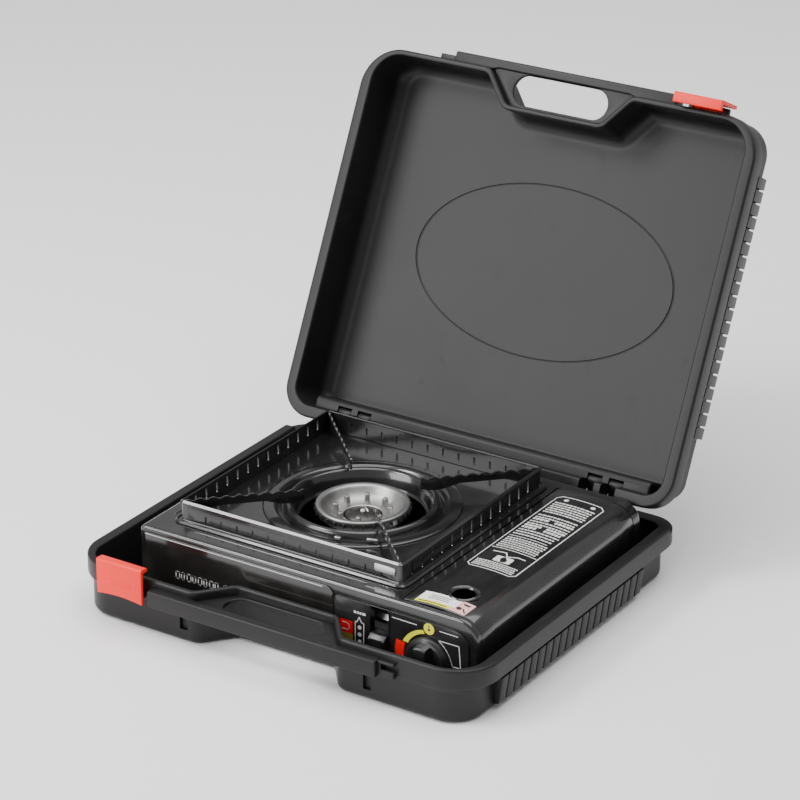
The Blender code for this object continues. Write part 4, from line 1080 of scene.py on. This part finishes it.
# ---- burner --------------------------------------------------------------------------------------------------------
def build_burner():
    centre = (BURNER.x, BURNER.y)
    top = PAN_HIGH.z - 0.0042
    sheet = 0.0009
    path = [(0.0855, top), (0.0851, top + 0.0007), (0.0838, top + 0.0012), (0.076, top + 0.0014),
            (0.0742, top + 0.0008), (0.0728, top - 0.0012), (0.0716, top - 0.0034), (0.0702, top - 0.0044),
            (0.069, top - 0.0046),
            (0.0684, top - 0.004), (0.0674, top - 0.0016), (0.0664, top + 0.0012), (0.0654, top + 0.003),
            (0.0641, top + 0.004), (0.0628, top + 0.0042), (0.0614, top + 0.0037), (0.0602, top + 0.0024),
            (0.0588, top - 0.003), (0.0568, top - 0.0086), (0.056, top - 0.0104), (0.055, top - 0.0112),
            (0.0542, top - 0.0108)]
    under = [(radius - 0.0003, height - sheet) for radius, height in path]
    under[0] = (0.0843, top - 0.00005)
    under[1] = (0.0838, top + 0.0001)
    under[2] = (0.0832, top + 0.0003)
    under[3] = (0.0762, top + 0.0005)
    under[4] = (0.0735, top - 0.0002)
    pan = spun("spill_pan", path + under[::-1] + [path[0]], centre, 128)
    finish(smooth(pan, 40), "stove", ENAMEL, "black_enamel", "drip_pan")

    rim = HEAD_HIGH.z
    low = HEAD_LOW.z
    profile = [(0.0295, low), (0.034, low + 0.0016), (0.0378, low + 0.0044), (0.0398, low + 0.0085),
               (0.0405, low + 0.011), (0.0405, rim - 0.001), (0.04, rim - 0.0003), (0.0392, rim),
               (0.0358, rim - 0.0003), (0.0347, rim - 0.001), (0.0338, rim - 0.0026), (0.0322, rim - 0.0056),
               (0.03, rim - 0.0086), (0.0265, rim - 0.0108), (0.0215, rim - 0.012), (0.0185, rim - 0.0118),
               (0.0175, rim - 0.011), (0.0168, rim - 0.0116), (0.0166, low), (0.0295, low)]
    head = spun("flame_ring", profile, centre, 120)
    fins = []
    for number in range(8):
        fin = block(f"fin_{number}", (0.0208, -0.0024, rim - 0.0125), (0.0262, 0.0024, rim - 0.0026))
        edit(fin)
        pick(fin, lambda face: face.normal.z > 0.9)
        bpy.ops.transform.resize(value=(0.8, 0.8, 1.0), center_override=(0.0236, 0, rim))
        done()
        soften(fin, 0.0009, 4)
        fin.rotation_euler = (0, 0, math.radians(45 * number + 24))
        fin.location = (centre[0], centre[1], 0)
        fins.append(settle(fin))
    head = together("flame_ring", [head] + fins)
    # Dark blocks round the flame ring at its ports: painted shade, standing for the shadow inside the port holes.
    port_shades = []
    for number in range(30):
        slot = block(f"port_{number}", (0.0386, -0.00055, rim - 0.0062), (0.042, 0.00055, rim - 0.0028))
        slot.rotation_euler = (0, 0, math.radians(12 * number + 4))
        slot.location = (centre[0], centre[1], 0)
        port_shades.append(settle(slot))
    finish(smooth(head, 38), "stove", ALUMINIUM, "cast_aluminium", "burner_head")
    finish(smooth(together("flame_ports", port_shades), 38), "stove", DARK_INK_AND_PORT_SHADE, "black_enamel")

    cap_low, cap_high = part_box("burner_cap")
    cap = [(0.0026, cap_high.z - 0.0002), (0.0036, cap_high.z), (0.007, cap_high.z - 0.0003),
           (0.011, cap_high.z - 0.0012), (0.0138, cap_high.z - 0.0024), (0.0152, cap_high.z - 0.0036),
           (0.0155, cap_high.z - 0.0046), (0.015, cap_high.z - 0.0052), (0.0048, cap_high.z - 0.0054),
           (0.0048, cap_low.z), (0.0026, cap_low.z), (0.0026, cap_high.z - 0.0002)]
    finish(smooth(spun("centre_cap", cap, centre, 64), 40), "stove", BURNT, "cast_aluminium", "burner_cap")

    low_point, high_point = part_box("spark_electrode")
    ceramic = [(0.0, high_point.z - 0.0044), (0.001, high_point.z - 0.0045), (0.0018, high_point.z - 0.005),
               (0.002, high_point.z - 0.0058), (0.002, low_point.z + 0.0003), (0.0017, low_point.z),
               (0.0, low_point.z)]
    stick = spun("igniter_ceramic", ceramic, centre, 32)
    finish(smooth(stick, 40), "stove", CERAMIC, "ceramic", "spark_electrode")
    wire_path = [Vector(p) for p in ((0, 0, -0.005), (0, 0, -0.003), (0.0006, -0.0004, -0.0016),
                                     (0.0026, -0.0016, -0.0008), (0.0062, -0.0038, -0.0012),
                                     (0.009, -0.0055, -0.0024))]
    tip = Vector((*centre, high_point.z))
    finish(tube("igniter_wire", [tip + p for p in wire_path], 0.0008, 10), "stove", STEEL, "bright_steel")


def tube(name, path, radius, count=12):
    """Round rod along a smooth path."""
    points = []
    last = len(path) - 1
    for i in range(last):
        before, a, b, after = path[max(i - 1, 0)], path[i], path[i + 1], path[min(i + 2, last)]
        for k in range(6):
            t = k / 6
            points.append(0.5 * (2 * a + (b - before) * t + (2 * before - 5 * a + 4 * b - after) * t * t
                                 + (3 * a - before - 3 * b + after) * t ** 3))
    points.append(path[-1])
    rings = []
    side = None
    for i, point in enumerate(points):
        along = (points[min(i + 1, len(points) - 1)] - points[max(i - 1, 0)]).normalized()
        if side is None:
            side = along.orthogonal().normalized()
        side = (side - along * side.dot(along)).normalized()
        up = along.cross(side)
        turns = [math.tau * k / count for k in range(count)]
        rings.append([point + side * radius * math.cos(turn) + up * radius * math.sin(turn) for turn in turns])
    return smooth(from_rings(name, rings), 50)


# ---- trivet --------------------------------------------------------------------------------------------------------
def slit_cutters(axis, fixed, start, pitch, count, low, high, wide=0.0017):
    """Tools for a row of upright slits through a wall."""
    tools = []
    for number in range(count):
        place = start + pitch * number
        outline = arc((place, high - wide / 2), wide / 2, 0, 180, 7)
        outline += arc((place, low + wide / 2), wide / 2, 180, 360, 7)
        tools.append(slab(f"slit_{number}", outline, axis, fixed - 0.004, fixed + 0.004))
    return tools


def build_trivet():
    low, high = FRAME_LOW, FRAME_HIGH
    thick = 0.0012

    def ring(out, z):
        corners = [(low.x - out, low.y - out), (high.x + out, low.y - out), (high.x + out, high.y + out),
                   (low.x - out, high.y + out)]
        return [(x, y, z) for x, y in rounded(corners, [max(0.003 + out, 0.0012)] * 4, [8] * 4)]
    rings = [ring(0.0, low.z + 0.002), ring(0.0, high.z - 0.0026), ring(0.001, high.z - 0.0021),
             ring(0.0011, high.z - 0.0016), ring(-0.0007, high.z), ring(-0.0013, high.z - 0.0001),
             ring(-0.0018, high.z - 0.0008), ring(-0.0016, high.z - 0.0018), ring(-thick, high.z - 0.0022),
             ring(-thick, low.z), ring(0.0056, low.z), ring(0.006, low.z + 0.0003), ring(0.006, low.z + 0.0007),
             ring(0.0047, low.z + 0.002), ring(0.004, low.z + 0.002), ring(0.003, low.z + 0.001),
             ring(0.0004, low.z + 0.0013), ring(0.0, low.z + 0.002)]
    wall = from_rings("pan_frame", rings, capped=False)
    tools = slit_cutters("X", low.x, low.y + 0.02, 0.0152, 13, low.z + 0.006, high.z - 0.0035, 0.0021)
    tools += slit_cutters("X", high.x, low.y + 0.016, 0.0152, 13, low.z + 0.0032, high.z - 0.0045, 0.0021)
    tools += slit_cutters("Y", low.y, low.x + 0.026, 0.016, 12, low.z + 0.0026, low.z + 0.0098)
    tools += slit_cutters("Y", high.y, low.x + 0.026, 0.016, 12, low.z + 0.004, low.z + 0.0115, 0.0021)
    cut(wall, *tools)
    finish(smooth(wall, 35), "trivet", ENAMEL, "black_enamel", "trivet_frame")

    tab = block("corner_tab", (0.0645, low.y - 0.0012, low.z + 0.007), (0.0845, low.y + 0.0002, low.z + 0.0135))
    finish(smooth(soften(tab, 0.0004, 3)), "trivet", STEEL, "bright_steel")
    clips = []
    for number, (x, y, half) in enumerate(((0.0034, -0.069, 0.0028), (0.0298, -0.057, 0.0048))):
        clip = block(f"clip_{number}", (-half, -0.0016, 0), (half, 0.0016, 0.0022))
        soften(clip, 0.0005, 3)
        clip.rotation_euler = (0, 0, math.radians(14 * number))
        clip.location = (x, y, PAN_HIGH.z - 0.001)
        clips.append(settle(clip))
    finish(smooth(together("pan_clips", clips)), "stove", STEEL, "bright_steel")

    centre = Vector((BURNER.x, BURNER.y))
    corners = {"front_left": (low.x, low.y), "front_right": (high.x, low.y), "rear_right": (high.x, high.y),
               "rear_left": (low.x, high.y)}
    for name, corner in corners.items():
        corner = Vector(corner)
        along = (corner - centre).normalized()
        across = Vector((-along.y, along.x))
        far = (corner - centre).length - 0.0032
        near = 0.05
        top = [(near, high.z - 0.0012), (near + 0.0015, high.z - 0.0003)]
        steps = 90
        for i in range(steps + 1):
            reach = near + 0.003 + (far - near - 0.006) * i / steps
            wave = 0.0018 * (1 - math.cos(math.tau * (reach - near) / 0.0112)) / 2
            top.append((reach, high.z - wave))
        profile = top + [(far, high.z - 0.001), (far, low.z + 0.0006), (far - 0.012, low.z + 0.0006)]
        profile += [(far - 0.018, low.z + 0.008), (far - 0.03, low.z + 0.0108), (near + 0.034, low.z + 0.0108),
                    (near + 0.022, low.z + 0.0072), (near + 0.012, low.z + 0.0062), (near, low.z + 0.0085)]
        rings = []
        for offset in (-0.0009, 0.0009):
            rings.append([(*(centre + along * reach + across * offset), z) for reach, z in profile])
        arm = from_rings(f"pan_arm_{name}", rings)
        soften(arm, 0.00035, 2, 60)
        finish(smooth(arm, 40), "trivet", ENAMEL, "black_enamel", f"trivet_arm_{name}")


# ---- carried-over parts --------------------------------------------------------------------------------------------
def finish_frame_parts():
    """Better materials on the CAD nodes that stay."""
    groups = (
        (STEEL, ("hinge_pin_left", "hinge_pin_right", "base_latch_pin", "lid_latch_pin", "cover_rod")),
        (ZINC, ("bottom_pan", "burner_base", "mixing_tube", "valve_stem")),
        (BURNT, ("pressure_regulator", "heat_shield")),
        (BRASS, ("gas_nozzle", "gas_valve")),
        (RUBBER, ("foot_front_left", "foot_front_right", "foot_rear_left", "foot_rear_right")),
        (BLACK, ("ignition_lead", "piezo_igniter", "lever_guide_left", "lever_guide_right")),
    )
    for material, nodes in groups:
        for node in nodes:
            for place in frame["nodes"][node].material_slots:
                place.material = material


# ---- studio --------------------------------------------------------------------------------------------------------
def aim(item, target):
    item.rotation_euler = (Vector(target) - item.location).to_track_quat("-Z", "Y").to_euler()


def lamp(name, place, target, power, wide, tall):
    """Soft rectangular light."""
    data = bpy.data.lights.new(name, "AREA")
    data.energy = power
    data.shape = "RECTANGLE"
    data.size = wide
    data.size_y = tall
    item = placed(name, data)
    item.location = place
    aim(item, target)


def build_studio():
    world = bpy.data.worlds.new("pale_room")
    world.use_nodes = True
    background = world.node_tree.nodes["Background"]
    background.inputs["Color"].default_value = (1.0, 1.0, 1.0, 1.0)
    background.inputs["Strength"].default_value = 0.55
    bpy.context.scene.world = world
    drop_selection()
    bpy.ops.mesh.primitive_plane_add(size=12.0, location=(0, 0, -0.0002))
    floor = named("studio_floor")
    pale = Finish("studio_pale", roughness=0.9)
    pale.set("Base Color", (0.93, 0.93, 0.93))
    floor.data.materials.append(pale.material)
    lamp("front_soft", (-1.25, -1.95, 1.05), (0.0, 0.2, 0.25), 43.0, 1.6, 1.1)
    lamp("over_soft", (0.3, 0.2, 2.8), (0.0, 0.1, 0.0), 84.0, 3.0, 2.6)
    lamp("edge_spark", (-1.05, -0.85, 1.75), (0.0, 0.0, 0.07), 26.0, 0.7, 0.6)

    data = bpy.data.cameras.new("camera")
    data.lens = 148.24
    data.sensor_width = 36.0
    camera = placed("camera", data)
    camera.location = (1.37795, -2.09697, 1.29059)
    aim(camera, (-0.37427, 0.60886, -0.14141))
    bpy.context.scene.camera = camera


build_studio()
finish_frame_parts()
build_case()
finish(latch("base_latch_clip"), "base_latch", CORAL, "latch_red", "base_latch")
finish(turned_over(latch("lid_latch_clip")), "lid_latch", CORAL, "latch_red", "lid_latch")
build_body()
build_cover()
build_print()
build_controls()
build_burner()
build_trivet()
drop_selection()
